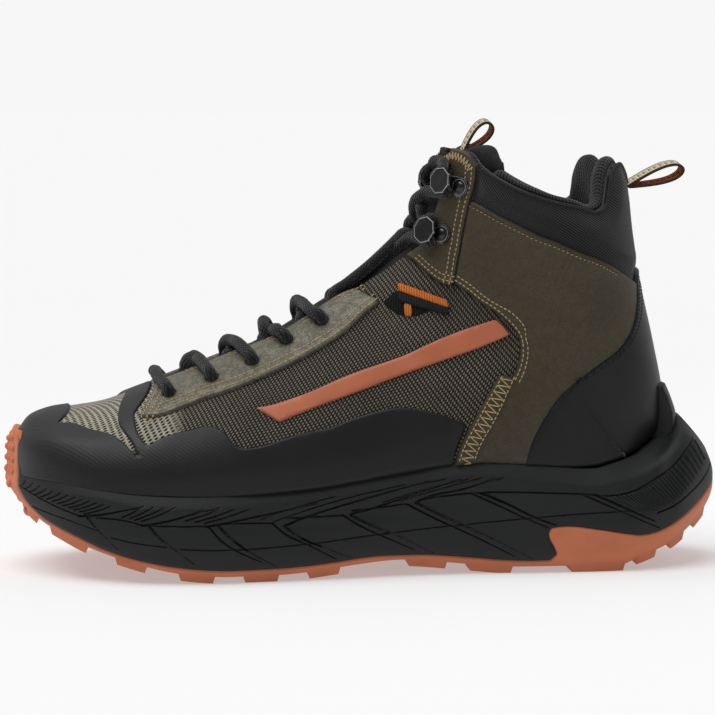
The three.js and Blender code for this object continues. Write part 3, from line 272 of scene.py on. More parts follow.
def curve_through(rows, straight=True):
    """A smooth curve through a table's rows, read at places between them. Before the first row
    the columns go on straight, or turn back as in a mirror."""
    rows = np.array(rows, float)
    last = len(rows) - 1
    before = np.where(straight, 2 * rows[0] - rows[1], rows[1])
    ends = np.vstack([before, rows, 2 * rows[last] - rows[last - 1]])

    def read(at):
        at = np.asarray(at, float)
        i = np.clip(np.floor(at).astype(int), 0, last - 1)
        t = (at - i)[..., None]
        a, b, d, e = ends[i], ends[i + 1], ends[i + 2], ends[i + 3]
        return 0.5 * (2 * b + (d - a) * t + (2 * a - 5 * b + 4 * d - e) * t ** 2
                      + (3 * b - a - 3 * d + e) * t ** 3)
    return read


def upper_rows():
    bed = np.array(FOOT_BED)
    rows = []
    for row in UPPER_SECTIONS:
        values = dict(zip(UPPER_COLUMNS, row))
        if values["lowZ"] is None:
            values["lowZ"] = STACK * np.interp(row[0], bed[:, 0], bed[:, 1])
        else:
            values["lowZ"] = up_shaft(values["lowZ"])
        values["topZ"] = up_shaft(values["topZ"])
        for name in ("lowX", "topX"):
            values[name] = along_foot(values[name])
        for name in ("lowOut", "wideOut", "lowIn", "wideIn", "ridge"):
            values[name] *= BALL_WIDTH
        rows.append([values[name] for name in UPPER_COLUMNS])
    return rows


upper_section = curve_through(upper_rows(), np.array([c in STRAIGHT_AT_TOE for c in UPPER_COLUMNS]))


def rough_surface(at, turn):
    at, turn = np.broadcast_arrays(np.asarray(at, float), np.asarray(turn, float))
    s = upper_section(at)
    low_x, low_z, top_x, top_z, low_out, wide_out, low_in, wide_in, widest, ridge, crown = \
        np.moveaxis(s, -1, 0)
    outer = turn <= RIDGE
    way = np.where(outer, turn, 2 * RIDGE - turn)
    low = np.where(outer, low_out, -low_in)
    wide = np.where(outer, wide_out, -wide_in)
    under = way <= LOW_TURN
    first = way / LOW_TURN * np.pi / 2
    second = np.clip((way - LOW_TURN) / (RIDGE - LOW_TURN), 0, 1) * np.pi / 2
    rise = np.clip(np.sin(second), 0, 1) ** (2 / crown)
    lean = np.clip(np.cos(second), 0, 1) ** (2 / crown)
    up = np.where(under, widest * (1 - np.cos(first)), widest + (1 - widest) * rise)
    side = np.where(under, low + (wide - low) * np.sin(first), ridge + (wide - ridge) * lean)
    return np.stack([low_x + (top_x - low_x) * up, side, low_z + (top_z - low_z) * up], -1)


def surface(at, turn):
    """The form's point, with the crease where the form closes below spread over its sections."""
    at, turn = np.broadcast_arrays(np.asarray(at, float), np.asarray(turn, float))
    points = rough_surface(at, turn)
    reach = JOIN_BLUR * hill(at, FIRST_CLOSED_SECTION, 1.5)
    near = reach > 0
    if near.any():
        points[near] = np.mean([rough_surface(at[near] + reach[near] * shift, turn[near])
                                for shift in np.linspace(-1, 1, 7)], axis=0)
    return points


def unit(vectors):
    return vectors / np.maximum(np.linalg.norm(vectors, axis=-1, keepdims=True), 1e-12)


def outward(at, turn):
    at, turn = np.broadcast_arrays(np.asarray(at, float), np.asarray(turn, float))
    level = np.maximum(at, TIP)
    open_below = level < FIRST_CLOSED_SECTION
    feather = FEATHER_TURN * (1 - ramp(level, FIRST_CLOSED_SECTION - 1.5, FIRST_CLOSED_SECTION))
    turn = np.clip(turn, feather, 2 - feather)

    def normal(t):
        reach = NUDGE + WIDE_NUDGE * hill(level, FIRST_CLOSED_SECTION, 1.4)
        a, b = np.clip(level - reach, 0, LAST_SECTION), np.clip(level + reach, 0, LAST_SECTION)
        c, d = np.clip(t - NUDGE, 0, 2), np.clip(t + NUDGE, 0, 2)
        return unit(np.cross(surface(b, t) - surface(a, t), surface(level, d) - surface(level, c)))

    straight = normal(turn)
    twin = normal(2 - turn)
    seam = (at <= TIP) | (~open_below & ((turn < 1e-6) | (turn > 2 - 1e-6)))
    return np.where(seam[..., None], unit(straight + twin), straight)


def off_surface(at, turn, offset):
    offset = np.asarray(offset, float)
    return surface(at, turn) + outward(at, turn) * offset[..., None]


HALVINGS = 40


def on_side(x, z, inner=False):
    """The section and the turn at which the form passes a place of the side view, in mm."""
    x, z = np.broadcast_arrays(np.asarray(x, float), np.asarray(z, float))

    def beside(at):
        s = upper_section(at)
        return ((s[..., 2] - s[..., 0]) * (z - s[..., 1]) - (s[..., 3] - s[..., 1]) * (x - s[..., 0]))

    low, high = np.full(x.shape, 0.5), np.full(x.shape, float(LAST_SECTION))
    for _ in range(HALVINGS):
        middle = (low + high) / 2
        crossed = beside(low) * beside(middle) <= 0
        low, high = np.where(crossed, low, middle), np.where(crossed, middle, high)
    s = upper_section(low)
    line = s[..., 2:4] - s[..., 0:2]
    share = ((x - s[..., 0]) * line[..., 0] + (z - s[..., 1]) * line[..., 1]) / (line ** 2).sum(-1)
    widest, crown = s[..., 8], s[..., 10]
    below = np.arccos(np.clip(1 - share / widest, -1, 1)) / (np.pi / 2) * LOW_TURN
    rise = np.clip((share - widest) / (1 - widest), 0, 1) ** (crown / 2)
    above = LOW_TURN + np.arcsin(rise) / (np.pi / 2) * (RIDGE - LOW_TURN)
    turn = np.where(share <= widest, below, above)
    return low, np.where(inner, 2 - turn, turn)


def turn_beside(at, distance, inner=False):
    """The turn at which the form is a distance aside from its ridge line."""
    s = upper_section(at)
    wide = np.where(inner, s[..., 7] + s[..., 9], s[..., 5] - s[..., 9])
    share = np.clip(np.asarray(distance) / wide, 0, 1) ** (s[..., 10] / 2)
    turn = LOW_TURN + np.arccos(share) / (np.pi / 2) * (RIDGE - LOW_TURN)
    return np.where(inner, 2 - turn, turn)


def ramp(value, low, high):
    """Goes smoothly from 0 at low to 1 at high."""
    t = np.clip((np.asarray(value, float) - low) / (high - low), 0, 1)
    return t * t * (3 - 2 * t)


def hill(value, centre, half):
    """A soft bump that is 1 at its centre and 0 from half away."""
    t = np.clip(1 - np.abs(np.asarray(value, float) - centre) / half, 0, 1)
    return t * t * (3 - 2 * t)


# Outlines and lines in the side view.
CORNER_DEGREES = 48.0
STEPS_A_SIDE = 6


def smooth_line(points, closed):
    """Rounds a run of points into a smooth line that keeps its sharp corners."""
    points = np.array(points, float)
    n = len(points)
    tangents = []
    for i in range(n):
        before = points[i - 1] if (closed or i > 0) else points[i]
        after = points[(i + 1) % n] if (closed or i < n - 1) else points[i]
        a, b = points[i] - before, after - points[i]
        la, lb = np.linalg.norm(a), np.linalg.norm(b)
        if la < 1e-9 or lb < 1e-9:
            tangents.append((a if la > lb else b, a if la > lb else b))
            continue
        bend = math.degrees(math.acos(max(-1.0, min(1.0, float(a @ b) / (la * lb)))))
        if bend > CORNER_DEGREES:
            tangents.append((a / la, b / lb))
        else:
            along = a / la * lb + b / lb * la
            along = along / max(np.linalg.norm(along), 1e-9)
            tangents.append((along, along))
    line = []
    for i in range(n if closed else n - 1):
        p, q = points[i], points[(i + 1) % n]
        reach = np.linalg.norm(q - p)
        leave = tangents[i][1] / max(np.linalg.norm(tangents[i][1]), 1e-9) * reach
        arrive = tangents[(i + 1) % n][0]
        arrive = arrive / max(np.linalg.norm(arrive), 1e-9) * reach
        for k in range(STEPS_A_SIDE):
            t = k / STEPS_A_SIDE
            line.append((2 * t ** 3 - 3 * t ** 2 + 1) * p + (t ** 3 - 2 * t ** 2 + t) * leave
                        + (3 * t ** 2 - 2 * t ** 3) * q + (t ** 3 - t ** 2) * arrive)
    if not closed:
        line.append(points[-1])
    return np.array(line)


def distance_to(line, points, closed):
    """The distance from points to a line in the plane, and the way from the nearest place."""
    ends = np.roll(line, -1, axis=0) if closed else line[1:]
    starts = line if closed else line[:-1]
    best = np.full(len(points), np.inf)
    way = np.zeros((len(points), 2))
    for a, b in zip(starts, ends):
        leg = b - a
        share = np.clip((points - a) @ leg / max(leg @ leg, 1e-12), 0, 1)
        gap = points - (a + share[:, None] * leg)
        reach = np.einsum("ij,ij->i", gap, gap)
        nearer = reach < best
        best = np.where(nearer, reach, best)
        way[nearer] = gap[nearer]
    best = np.sqrt(best)
    return best, way / np.maximum(best, 1e-9)[:, None]


def is_within(outline, points):
    inside = np.zeros(len(points), bool)
    for a, b in zip(outline, np.roll(outline, -1, axis=0)):
        spans = (a[1] > points[:, 1]) != (b[1] > points[:, 1])
        rise = b[1] - a[1] if abs(b[1] - a[1]) > 1e-12 else 1e-12
        crossing = a[0] + (points[:, 1] - a[1]) / rise * (b[0] - a[0])
        inside ^= spans & (points[:, 0] < crossing)
    return inside


def within(outline, points, normals=None):
    """How far points are inside a side-view outline, measured on the surface that they lie on."""
    flat = points[:, [0, 2]]
    distance, way = distance_to(outline, flat, True)
    if normals is not None:
        slope = np.einsum("ij,ij->i", way, normals[:, [0, 2]])
        distance = distance / np.maximum(np.sqrt(np.clip(1 - slope ** 2, 0, 1)), 0.3)
    return np.where(is_within(outline, flat), distance, -distance)


# The fine grid over the form, with lengths along and round it for patterns that follow the cloth.
FINE_ALONG = 300
FINE_AROUND = 168


def fine_steps():
    closed_share = 0.36
    first = int(FINE_ALONG * (1 - closed_share))
    return np.concatenate([np.linspace(0, FIRST_CLOSED_SECTION, first, endpoint=False),
                           np.linspace(FIRST_CLOSED_SECTION, LAST_SECTION, FINE_ALONG - first + 1)])


class Form:
    """The upper's form sampled once: places, lengths of cloth, and reading between them."""

    def __init__(self):
        self.at = fine_steps()
        self.turn = np.linspace(0, 2, FINE_AROUND + 1)
        points = surface(self.at[:, None], self.turn[None, :])
        self.points = points
        steps = np.linalg.norm(np.diff(points, axis=0), axis=-1)
        along = np.vstack([np.zeros(len(self.turn)), np.cumsum(steps, axis=0)])
        steps = np.linalg.norm(np.diff(points, axis=1), axis=-1)
        around = np.hstack([np.zeros((len(self.at), 1)), np.cumsum(steps, axis=1)])
        middle = FINE_AROUND // 2
        self.cloth = np.stack([along, around - around[:, middle:middle + 1]], -1)

    def read_cloth(self, at, turn):
        i = np.interp(at, self.at, np.arange(len(self.at)))
        j = turn / 2 * FINE_AROUND
        i0 = np.clip(np.floor(i).astype(int), 0, len(self.at) - 2)
        j0 = np.clip(np.floor(j).astype(int), 0, FINE_AROUND - 1)
        s, t = (i - i0)[:, None], (j - j0)[:, None]
        c = self.cloth
        return ((c[i0, j0] * (1 - s) + c[i0 + 1, j0] * s) * (1 - t)
                + (c[i0, j0 + 1] * (1 - s) + c[i0 + 1, j0 + 1] * s) * t)


FORM = Form()
SNAP = 0.06


class Patch:
    """Faces over a grid of places. Cutting it along a field's zero line adds corners there."""

    def __init__(self, first, second):
        a, b = np.meshgrid(first, second, indexing="ij")
        self.place = np.column_stack([a.ravel(), b.ravel()])
        index = np.arange(a.size).reshape(a.shape)
        self.faces = np.stack([index[:-1, :-1], index[1:, :-1], index[1:, 1:], index[:-1, 1:]],
                              -1).reshape(-1, 4).tolist()

    def keep_near(self, field, margin):
        """Drops what is far outside, which keeps the later work short."""
        near = field > -margin
        self.faces = [f for f in self.faces if near[f[0]] or near[f[1]] or near[f[2]] or near[f[-1]]]

    def cut(self, field, keep_inside=False, near=None):
        """Cuts the faces along the zero line, or only those with a corner that is near."""
        value = np.where(np.abs(field) < SNAP, 0.0, field).tolist()
        near = near.tolist() if near is not None else [True] * len(value)
        made, added, faces = {}, [], []
        for face in self.faces:
            if not any(near[k] for k in face):
                faces.append(face)
                continue
            values = [value[k] for k in face]
            low, high = min(values), max(values)
            if low >= 0:
                if high > 0 or keep_inside:
                    faces.append(face)
                continue
            if high <= 0:
                if not keep_inside:
                    faces.append(face)
                continue
            plus, minus = [], []
            for k, a in enumerate(face):
                b = face[(k + 1) % len(face)]
                va, vb = value[a], value[b]
                if va >= 0:
                    plus.append(a)
                if va <= 0:
                    minus.append(a)
                if va * vb < 0:
                    key = (a, b) if a < b else (b, a)
                    if key not in made:
                        p, q = key
                        made[key] = len(value) + len(added)
                        added.append((p, q, value[p] / (value[p] - value[q])))
                    plus.append(made[key])
                    minus.append(made[key])
            if len(plus) > 2:
                faces.append(plus)
            if len(minus) > 2 and not keep_inside:
                faces.append(minus)
        if added:
            p, q, share = (np.array(column) for column in zip(*added))
            p, q = p.astype(int), q.astype(int)
            between = self.place[p] * (1 - share[:, None]) + self.place[q] * share[:, None]
            self.place = np.vstack([self.place, between])
        self.faces = faces

    def compact(self):
        used = np.unique(np.array([k for face in self.faces for k in face]))
        order = np.full(len(self.place), -1)
        order[used] = np.arange(len(used))
        self.place = self.place[used]
        self.faces = [[int(order[k]) for k in face] for face in self.faces]


def make_object(name, points, faces, attributes=None, merge=0.02, smooth=True):
    """A mesh object from points in mm, with its doubles merged and its attributes kept."""
    mesh = bpy.data.meshes.new(name)
    mesh.from_pydata((np.asarray(points) * MM).tolist(), [], faces)
    for key, values in (attributes or {}).items():
        values = np.asarray(values, float)
        if values.ndim == 1:
            layer = mesh.attributes.new(key, "FLOAT", "POINT")
            layer.data.foreach_set("value", values.astype(np.float32))
        else:
            layer = mesh.attributes.new(key, "FLOAT_VECTOR", "POINT")
            full = np.zeros((len(values), 3), np.float32)
            full[:, :values.shape[1]] = values
            layer.data.foreach_set("vector", full.ravel())
    mesh.update()
    piece = bpy.data.objects.new(name, mesh)
    bpy.context.collection.objects.link(piece)
    only(piece)
    if merge:
        edit_all(piece, "remove_doubles", threshold=merge * MM)
    if smooth:
        bpy.ops.object.shade_smooth()
    return piece


def only(piece):
    """Selects one object and nothing else."""
    for other in bpy.context.view_layer.objects:
        other.select_set(False)
    piece.select_set(True)
    bpy.context.view_layer.objects.active = piece
    return piece


def edit_all(piece, operator, **settings):
    """Runs one mesh operator on the whole of a piece."""
    only(piece)
    bpy.ops.object.mode_set(mode="EDIT")
    bpy.ops.mesh.select_all(action="SELECT")
    getattr(bpy.ops.mesh, operator)(**settings)
    bpy.ops.object.mode_set(mode="OBJECT")


def with_modifier(piece, kind, **settings):
    """Adds a modifier with its settings and applies it."""
    only(piece)
    bpy.ops.object.modifier_add(type=kind)
    modifier = piece.modifiers[-1]
    for key, value in settings.items():
        setattr(modifier, key, value)
    bpy.ops.object.modifier_apply(modifier=modifier.name)
    return piece


def place_on_root(piece, slot, *nodes):
    """Rides the piece on the boot's body and hides the solids it stands for. The slot, a finish's name, is
    not used.
    """
    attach(piece, "root")
    if nodes:
        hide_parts(*nodes)
    return piece


def join(pieces, name):
    only(pieces[0])
    for piece in pieces[1:]:
        piece.select_set(True)
    if len(pieces) > 1:
        bpy.ops.object.join()
    pieces[0].name = name
    return pieces[0]


# Colours and sizes that a user would change.
def rgb(red, green, blue):
    """A colour of the screen as the linear values that a shader reads."""
    def linear(value):
        value /= 255
        return value / 12.92 if value <= 0.04045 else ((value + 0.055) / 1.055) ** 2.4
    return (linear(red), linear(green), linear(blue))


def colour_property(name, description, default):
    return bpy.props.FloatVectorProperty(name=name, description=description, subtype="COLOR",
                                         size=3, min=0, max=1, default=default)


def length_property(name, description, default, low, high):
    return bpy.props.FloatProperty(name=name, description=description, subtype="DISTANCE",
                                   unit="LENGTH", default=default * MM, min=low * MM,
                                   max=high * MM, precision=4)


class BootColours(bpy.types.PropertyGroup):
    rubber: colour_property("Rubber", "Rust colour of the outsole", rgb(200, 118, 84))
    foam: colour_property("Foam", "Black of the midsole's foam", rgb(33, 34, 35))
    # The mesh's ground and beads make the sides' netting, a darker copy of the one net painted in shade; the
    # toe's lighter copy is painted light.
    mesh_ground: colour_property("Mesh ground", "Dark yarn of the upper's mesh", rgb(18, 17, 15))
    mesh_bead: colour_property("Mesh beads", "Raised light yarn of the mesh", rgb(136, 127, 112))
    film: colour_property("Film", "Matt film of the toe wrap", rgb(25, 25, 27))
    olive: colour_property("Olive leather", "Leather of eyestay and quarter", rgb(69, 61, 44))
    counter: colour_property("Heel counter", "Black leather of the heel", rgb(18, 18, 19))
    textile: colour_property("Textile", "Twill of the collar", rgb(40, 40, 42))
    lining: colour_property("Lining", "Knit inside the boot", rgb(40, 40, 41))
    trim: colour_property("Trim", "Diagonal band on the side", rgb(182, 103, 70))
    orange_tape: colour_property("Orange tape", "Ribbed tape of the guard", rgb(206, 112, 46))
    cream: colour_property("Loop", "Light face of the pull loops", rgb(206, 190, 160))
    lace: colour_property("Lace", "Yarn of the lace", rgb(24, 24, 25))
    thread: colour_property("Thread", "Tan sewing thread", rgb(178, 154, 114))
    dark_thread: colour_property("Dark thread", "Black sewing thread", rgb(26, 26, 27))
    metal: colour_property("Hooks", "Painted metal of the hooks", rgb(16, 16, 18))


class BootSizes(bpy.types.PropertyGroup):
    lace_diameter: length_property("Lace", "Diameter of the lace", 5.0, 3.0, 6.0)
    stitch_length: length_property("Stitch", "Length of one stitch", 1.3, 0.8, 5.0)
    stitch_pitch: length_property("Stitch pitch", "From one stitch to the next", 2.0, 1.2, 7.0)
    thread_width: length_property("Thread", "Thickness of the sewing thread", 0.62, 0.3, 1.2)
    piping: length_property("Piping", "Diameter of the collar's piping", 1.1, 0.6, 4.0)
    collar_puff: length_property("Collar", "Rise of the padded collar's textile", 2.2, 0.5, 4.0)
    groove: length_property("Groove", "Width of the sole's side grooves", 1.5, 0.6, 3.0)
    groove_depth: length_property("Groove depth", "Depth of the side grooves", 1.0, 0.3, 2.0)
    eyelet: length_property("Eyelet", "Radius of a punched eyelet", 2.7, 2.0, 4.0)
    netting: length_property("Netting", "Pitch of the mesh's beads", 2.4, 0.8, 5.0)


def colours():
    return bpy.context.scene.boot_colours


def size_mm(name):
    return getattr(bpy.context.scene.boot_sizes, name) / MM


# Node groups.
class Graph:
    """Short ways to add and link nodes in a material or a group."""

    def __init__(self, tree):
        self.tree = tree
        self.column = 0

    def add(self, kind, inputs=None, **settings):
        node = self.tree.nodes.new(kind)
        self.column += 1
        node.location = (170 * (self.column % 12), -220 * (self.column // 12))
        for key, value in settings.items():
            setattr(node, key, value)
        for key, value in (inputs or {}).items():
            self.feed(node.inputs[key], value)
        return node

    def feed(self, socket, value):
        if isinstance(value, bpy.types.NodeSocket):
            self.tree.links.new(value, socket)
        elif isinstance(value, (tuple, list)) and len(value) == 3 and socket.type == "RGBA":
            socket.default_value = (*value, 1)
        else:
            socket.default_value = value

    def math(self, operation, *values, clamp=False):
        node = self.add("ShaderNodeMath", operation=operation, use_clamp=clamp)
        for socket, value in zip(node.inputs, values):
            self.feed(socket, value)
        return node.outputs[0]

    def noise(self, vector, scale, detail=2.0, roughness=0.5):
        node = self.add("ShaderNodeTexNoise", {"Vector": vector, "Scale": scale, "Detail": detail,
                                               "Roughness": roughness})
        return node.outputs["Fac"]

    def cells(self, vector, scale, feature="F1", output="Distance"):
        node = self.add("ShaderNodeTexVoronoi", {"Vector": vector, "Scale": scale}, feature=feature)
        return node.outputs[output]

    def mix(self, factor, a, b, blend="MIX"):
        node = self.add("ShaderNodeMix", data_type="RGBA", blend_type=blend)
        colour_inputs = [s for s in node.inputs if s.type == "RGBA"]
        self.feed(node.inputs[0], factor)
        self.feed(colour_inputs[0], a)
        self.feed(colour_inputs[1], b)
        return [s for s in node.outputs if s.type == "RGBA"][0]

    def spread(self, value, low, high, to_low=0.0, to_high=1.0):
        node = self.add("ShaderNodeMapRange", {"Value": value, "From Min": low, "From Max": high,
                                               "To Min": to_low, "To Max": to_high})
        return node.outputs["Result"]

    def bump(self, height, distance, strength=1.0, normal=None):
        node = self.add("ShaderNodeBump", {"Height": height, "Distance": distance,
                                           "Strength": strength})
        if normal is not None:
            self.feed(node.inputs["Normal"], normal)
        return node.outputs["Normal"]

    def object_vector(self):
        return self.add("ShaderNodeTexCoord").outputs["Object"]

    def attribute(self, name, output="Fac"):
        node = self.add("ShaderNodeAttribute", attribute_name=name)
        return node.outputs[output]

    def parts(self, vector):
        node = self.add("ShaderNodeSeparateXYZ", {"Vector": vector})
        return node.outputs


def new_group(name, inputs, outputs):
    tree = bpy.data.node_groups.new(name, "ShaderNodeTree")
    kinds = {"value": "NodeSocketFloat", "vector": "NodeSocketVector", "colour": "NodeSocketColor"}
    for label, kind, default in inputs:
        socket = tree.interface.new_socket(label, in_out="INPUT", socket_type=kinds[kind])
        if default is not None:
            socket.default_value = default
    for label, kind in outputs:
        tree.interface.new_socket(label, in_out="OUTPUT", socket_type=kinds[kind])
    graph = Graph(tree)
    source = graph.add("NodeGroupInput")
    target = graph.add("NodeGroupOutput")
    return tree, graph, source.outputs, target.inputs


def build_leather_grain():
    """Pebbles with fine creases between them, and a slow change of tone."""
    tree, g, given, out = new_group(
        "Leather grain", [("Vector", "vector", None), ("Pebbles", "value", 900.0),
                          ("Creases", "value", 0.5)],
        [("Height", "value"), ("Tone", "value")])
    bent = g.noise(given["Vector"], 260.0, 3.0)
    moved = g.add("ShaderNodeVectorMath", {0: given["Vector"]}, operation="ADD")
    lift = g.add("ShaderNodeCombineXYZ", {"X": g.math("MULTIPLY", bent, 0.0012),
                                          "Y": g.math("MULTIPLY", bent, 0.0009),
                                          "Z": g.math("MULTIPLY", bent, 0.0011)})
    g.feed(moved.inputs[1], lift.outputs[0])
    pebble = g.cells(moved.outputs[0], given["Pebbles"], "F1")
    pebble = g.math("SUBTRACT", 1.0, g.math("POWER", pebble, 1.6))
    crease = g.noise(given["Vector"], 190.0, 6.0, 0.72)
    crease = g.spread(g.math("ABSOLUTE", g.math("SUBTRACT", crease, 0.5)), 0.0, 0.05)
    crease = g.math("MULTIPLY", g.math("SUBTRACT", 1.0, crease), given["Creases"])
    g.feed(out["Height"], g.math("SUBTRACT", pebble, crease))
    slow = g.noise(given["Vector"], 34.0, 4.0, 0.6)
    fine = g.noise(given["Vector"], 900.0, 2.0)
    tone = g.math("ADD", g.spread(slow, 0.3, 0.7, 0.86, 1.12), g.spread(fine, 0.2, 0.8, -0.07, 0.07))
    g.feed(out["Tone"], g.math("SUBTRACT", tone, g.math("MULTIPLY", crease, 0.25)))
    return tree


def build_netting():
    """Raised beads in slanting rows over a dark ground, on lengths of cloth in mm."""
    tree, g, given, out = new_group(
        "Netting", [("Cloth", "vector", None), ("Pitch", "value", 1.9), ("Bead", "value", 0.34),
                    ("Loose", "value", 0.12), ("Holes", "value", 0.0)],
        [("Height", "value"), ("Beads", "value"), ("Yarn", "value")])
    stray = g.noise(given["Cloth"], 0.55, 2.0)
    stray = g.math("MULTIPLY", g.math("SUBTRACT", stray, 0.5), given["Loose"])
    along, around, _ = g.parts(given["Cloth"])
    along = g.math("MULTIPLY", g.math("ADD", along, stray), 1.42)
    u = g.math("DIVIDE", g.math("ADD", along, around), given["Pitch"])
    v = g.math("DIVIDE", g.math("SUBTRACT", along, around), given["Pitch"])
    du = g.math("SUBTRACT", g.math("FRACT", u), 0.5)
    dv = g.math("SUBTRACT", g.math("FRACT", v), 0.5)
    one, other = g.math("ADD", du, dv), g.math("SUBTRACT", du, dv)
    reach = g.math("SQRT", g.math("ADD", g.math("MULTIPLY", g.math("MULTIPLY", one, one), 0.33),
                                  g.math("MULTIPLY", g.math("MULTIPLY", other, other), 0.67)))
    disc = g.math("SUBTRACT", 1.0, g.spread(reach, g.math("SUBTRACT", given["Bead"], 0.12),
                                            g.math("ADD", given["Bead"], 0.08)))
    around_hole = g.spread(reach, 0.22, 0.40)
    bead = g.math("ADD", disc, g.math("MULTIPLY", given["Holes"],
                                      g.math("SUBTRACT", around_hole, disc)))
    shade = g.noise(given["Cloth"], 0.9, 3.0)
    g.feed(out["Height"], bead)
    g.feed(out["Beads"], g.math("MULTIPLY", bead, g.spread(shade, 0.25, 0.7, 0.5, 1.1)))
    fibre = g.math("SINE", g.math("MULTIPLY", g.math("ADD", u, v), 18.0))
    g.feed(out["Yarn"], g.math("MULTIPLY", fibre, bead))
    return tree


def build_ribbing():
    """Round ribs of one pitch along a value in mm."""
    tree, g, given, out = new_group(
        "Ribbing", [("Length", "value", 0.0), ("Pitch", "value", 1.0), ("Sharp", "value", 1.0)],
        [("Height", "value")])
    turn = g.math("DIVIDE", given["Length"], given["Pitch"])
    wave = g.math("MULTIPLY", g.math("SINE", g.math("MULTIPLY", turn, 2 * math.pi)), 0.5)
    wave = g.math("ADD", wave, 0.5)
    g.feed(out["Height"], g.math("POWER", wave, given["Sharp"]))
    return tree


def build_braid():
    """Strands that cross each other round a cord, from its lengths along and turns around."""
    tree, g, given, out = new_group(
        "Braid", [("Along", "value", 0.0), ("Around", "value", 0.0), ("Pitch", "value", 2.6),
                  ("Strands", "value", 6.0)],
        [("Height", "value"), ("Fleck", "value")])
    along = g.math("DIVIDE", given["Along"], given["Pitch"])
    around = g.math("MULTIPLY", given["Around"], given["Strands"])
    one = g.math("ADD", along, around)
    other = g.math("SUBTRACT", along, around)
    rise = g.math("ABSOLUTE", g.math("SINE", g.math("MULTIPLY", one, math.pi)))
    cross = g.math("ABSOLUTE", g.math("SINE", g.math("MULTIPLY", other, math.pi)))
    g.feed(out["Height"], g.math("MAXIMUM", g.math("MULTIPLY", rise, cross),
                                 g.math("MULTIPLY", g.math("MULTIPLY", rise, rise), 0.55)))
    cell = g.add("ShaderNodeCombineXYZ", {"X": g.math("FLOOR", one), "Y": g.math("FLOOR", other)})
    white = g.add("ShaderNodeTexWhiteNoise", {"Vector": cell.outputs[0]}, noise_dimensions="3D")
    g.feed(out["Fleck"], g.spread(white.outputs["Value"], 0.86, 1.0))
    return tree


def build_tone():
    """A slow change of tone, and a change of roughness that goes with it."""
    tree, g, given, out = new_group(
        "Handled tone", [("Vector", "vector", None), ("Amount", "value", 0.1),
                         ("Scale", "value", 40.0)], [("Tone", "value"), ("Rough", "value")])
    slow = g.noise(given["Vector"], given["Scale"], 4.0, 0.6)
    shift = g.spread(slow, 0.3, 0.7, -1.0, 1.0)
    g.feed(out["Tone"], g.math("ADD", 1.0, g.math("MULTIPLY", shift, given["Amount"])))
    g.feed(out["Rough"], g.math("MULTIPLY", shift, g.math("MULTIPLY", given["Amount"], 0.5)))
    return tree


def build_edge_fade():
    """A mask near a piece's outline, from its distance in mm."""
    tree, g, given, out = new_group(
        "Edge fade", [("Distance", "value", 1.0), ("Width", "value", 1.0)], [("Mask", "value")])
    g.feed(out["Mask"], g.math("SUBTRACT", 1.0, g.spread(given["Distance"], 0.0, given["Width"])))
    return tree


GROUP_BUILDERS = {"Leather grain": build_leather_grain, "Netting": build_netting,
                  "Ribbing": build_ribbing, "Braid": build_braid, "Handled tone": build_tone,
                  "Edge fade": build_edge_fade}


def use_group(graph, name, inputs):
    tree = bpy.data.node_groups.get(name) or GROUP_BUILDERS[name]()
    node = graph.add("ShaderNodeGroup", node_tree=tree)
    for key, value in inputs.items():
        graph.feed(node.inputs[key], value)
    return node.outputs


def scaled(graph, colour, factor):
    """A colour made lighter or darker by a factor that changes over the surface."""
    node = graph.add("ShaderNodeVectorMath", {0: colour}, operation="SCALE")
    graph.feed(node.inputs["Scale"], factor)
    return node.outputs[0]


def finish_material(name, colour, roughness, normal, metallic=0.0, coat=0.0, specular=0.5,
                    coat_roughness=0.3, sheen=0.0, graph=None):
    """Feeds the shader of the material that the graph belongs to."""
    shader = graph.tree.nodes["Principled BSDF"]
    graph.feed(shader.inputs["Base Color"], colour)
    graph.feed(shader.inputs["Roughness"], roughness)
    shader.inputs["Metallic"].default_value = metallic
    shader.inputs["Coat Weight"].default_value = coat
    shader.inputs["Coat Roughness"].default_value = coat_roughness
    shader.inputs["Specular IOR Level"].default_value = specular
    shader.inputs["Sheen Weight"].default_value = sheen
    if normal is not None:
        graph.feed(shader.inputs["Normal"], normal)
    return bpy.data.materials[name]


def new_graph(name):
    material = bpy.data.materials.new(name)
    material.use_nodes = True
    return Graph(material.node_tree)


def leather_material(name, colour, pebbles=900.0, creases=0.5, roughness=0.5, depth=0.1, coat=0.08,
                     contrast=1.0):
    g = new_graph(name)
    grain = use_group(g, "Leather grain", {"Vector": g.object_vector(), "Pebbles": pebbles,
                                           "Creases": creases})
    edge = use_group(g, "Edge fade", {"Distance": g.attribute("edge"), "Width": 1.3})["Mask"]
    tone = g.math("MULTIPLY", grain["Tone"], g.math("SUBTRACT", 1.0, g.math("MULTIPLY", edge, 0.35)))
    tone = g.math("ADD", 1.0, g.math("MULTIPLY", g.math("SUBTRACT", tone, 1.0), contrast))
    tone = g.math("MULTIPLY", tone, g.spread(grain["Height"], 0.0, 0.9, 1 - 0.35 * contrast,
                                             1 + 0.12 * contrast))
    rough = g.math("SUBTRACT", roughness + 0.06, g.math("MULTIPLY", grain["Height"], 0.08))
    return finish_material(name, scaled(g, colour, tone), rough,
                           g.bump(grain["Height"], depth * MM), coat=coat, specular=0.25,
                           graph=g)


TOE_PITCH = 1.45


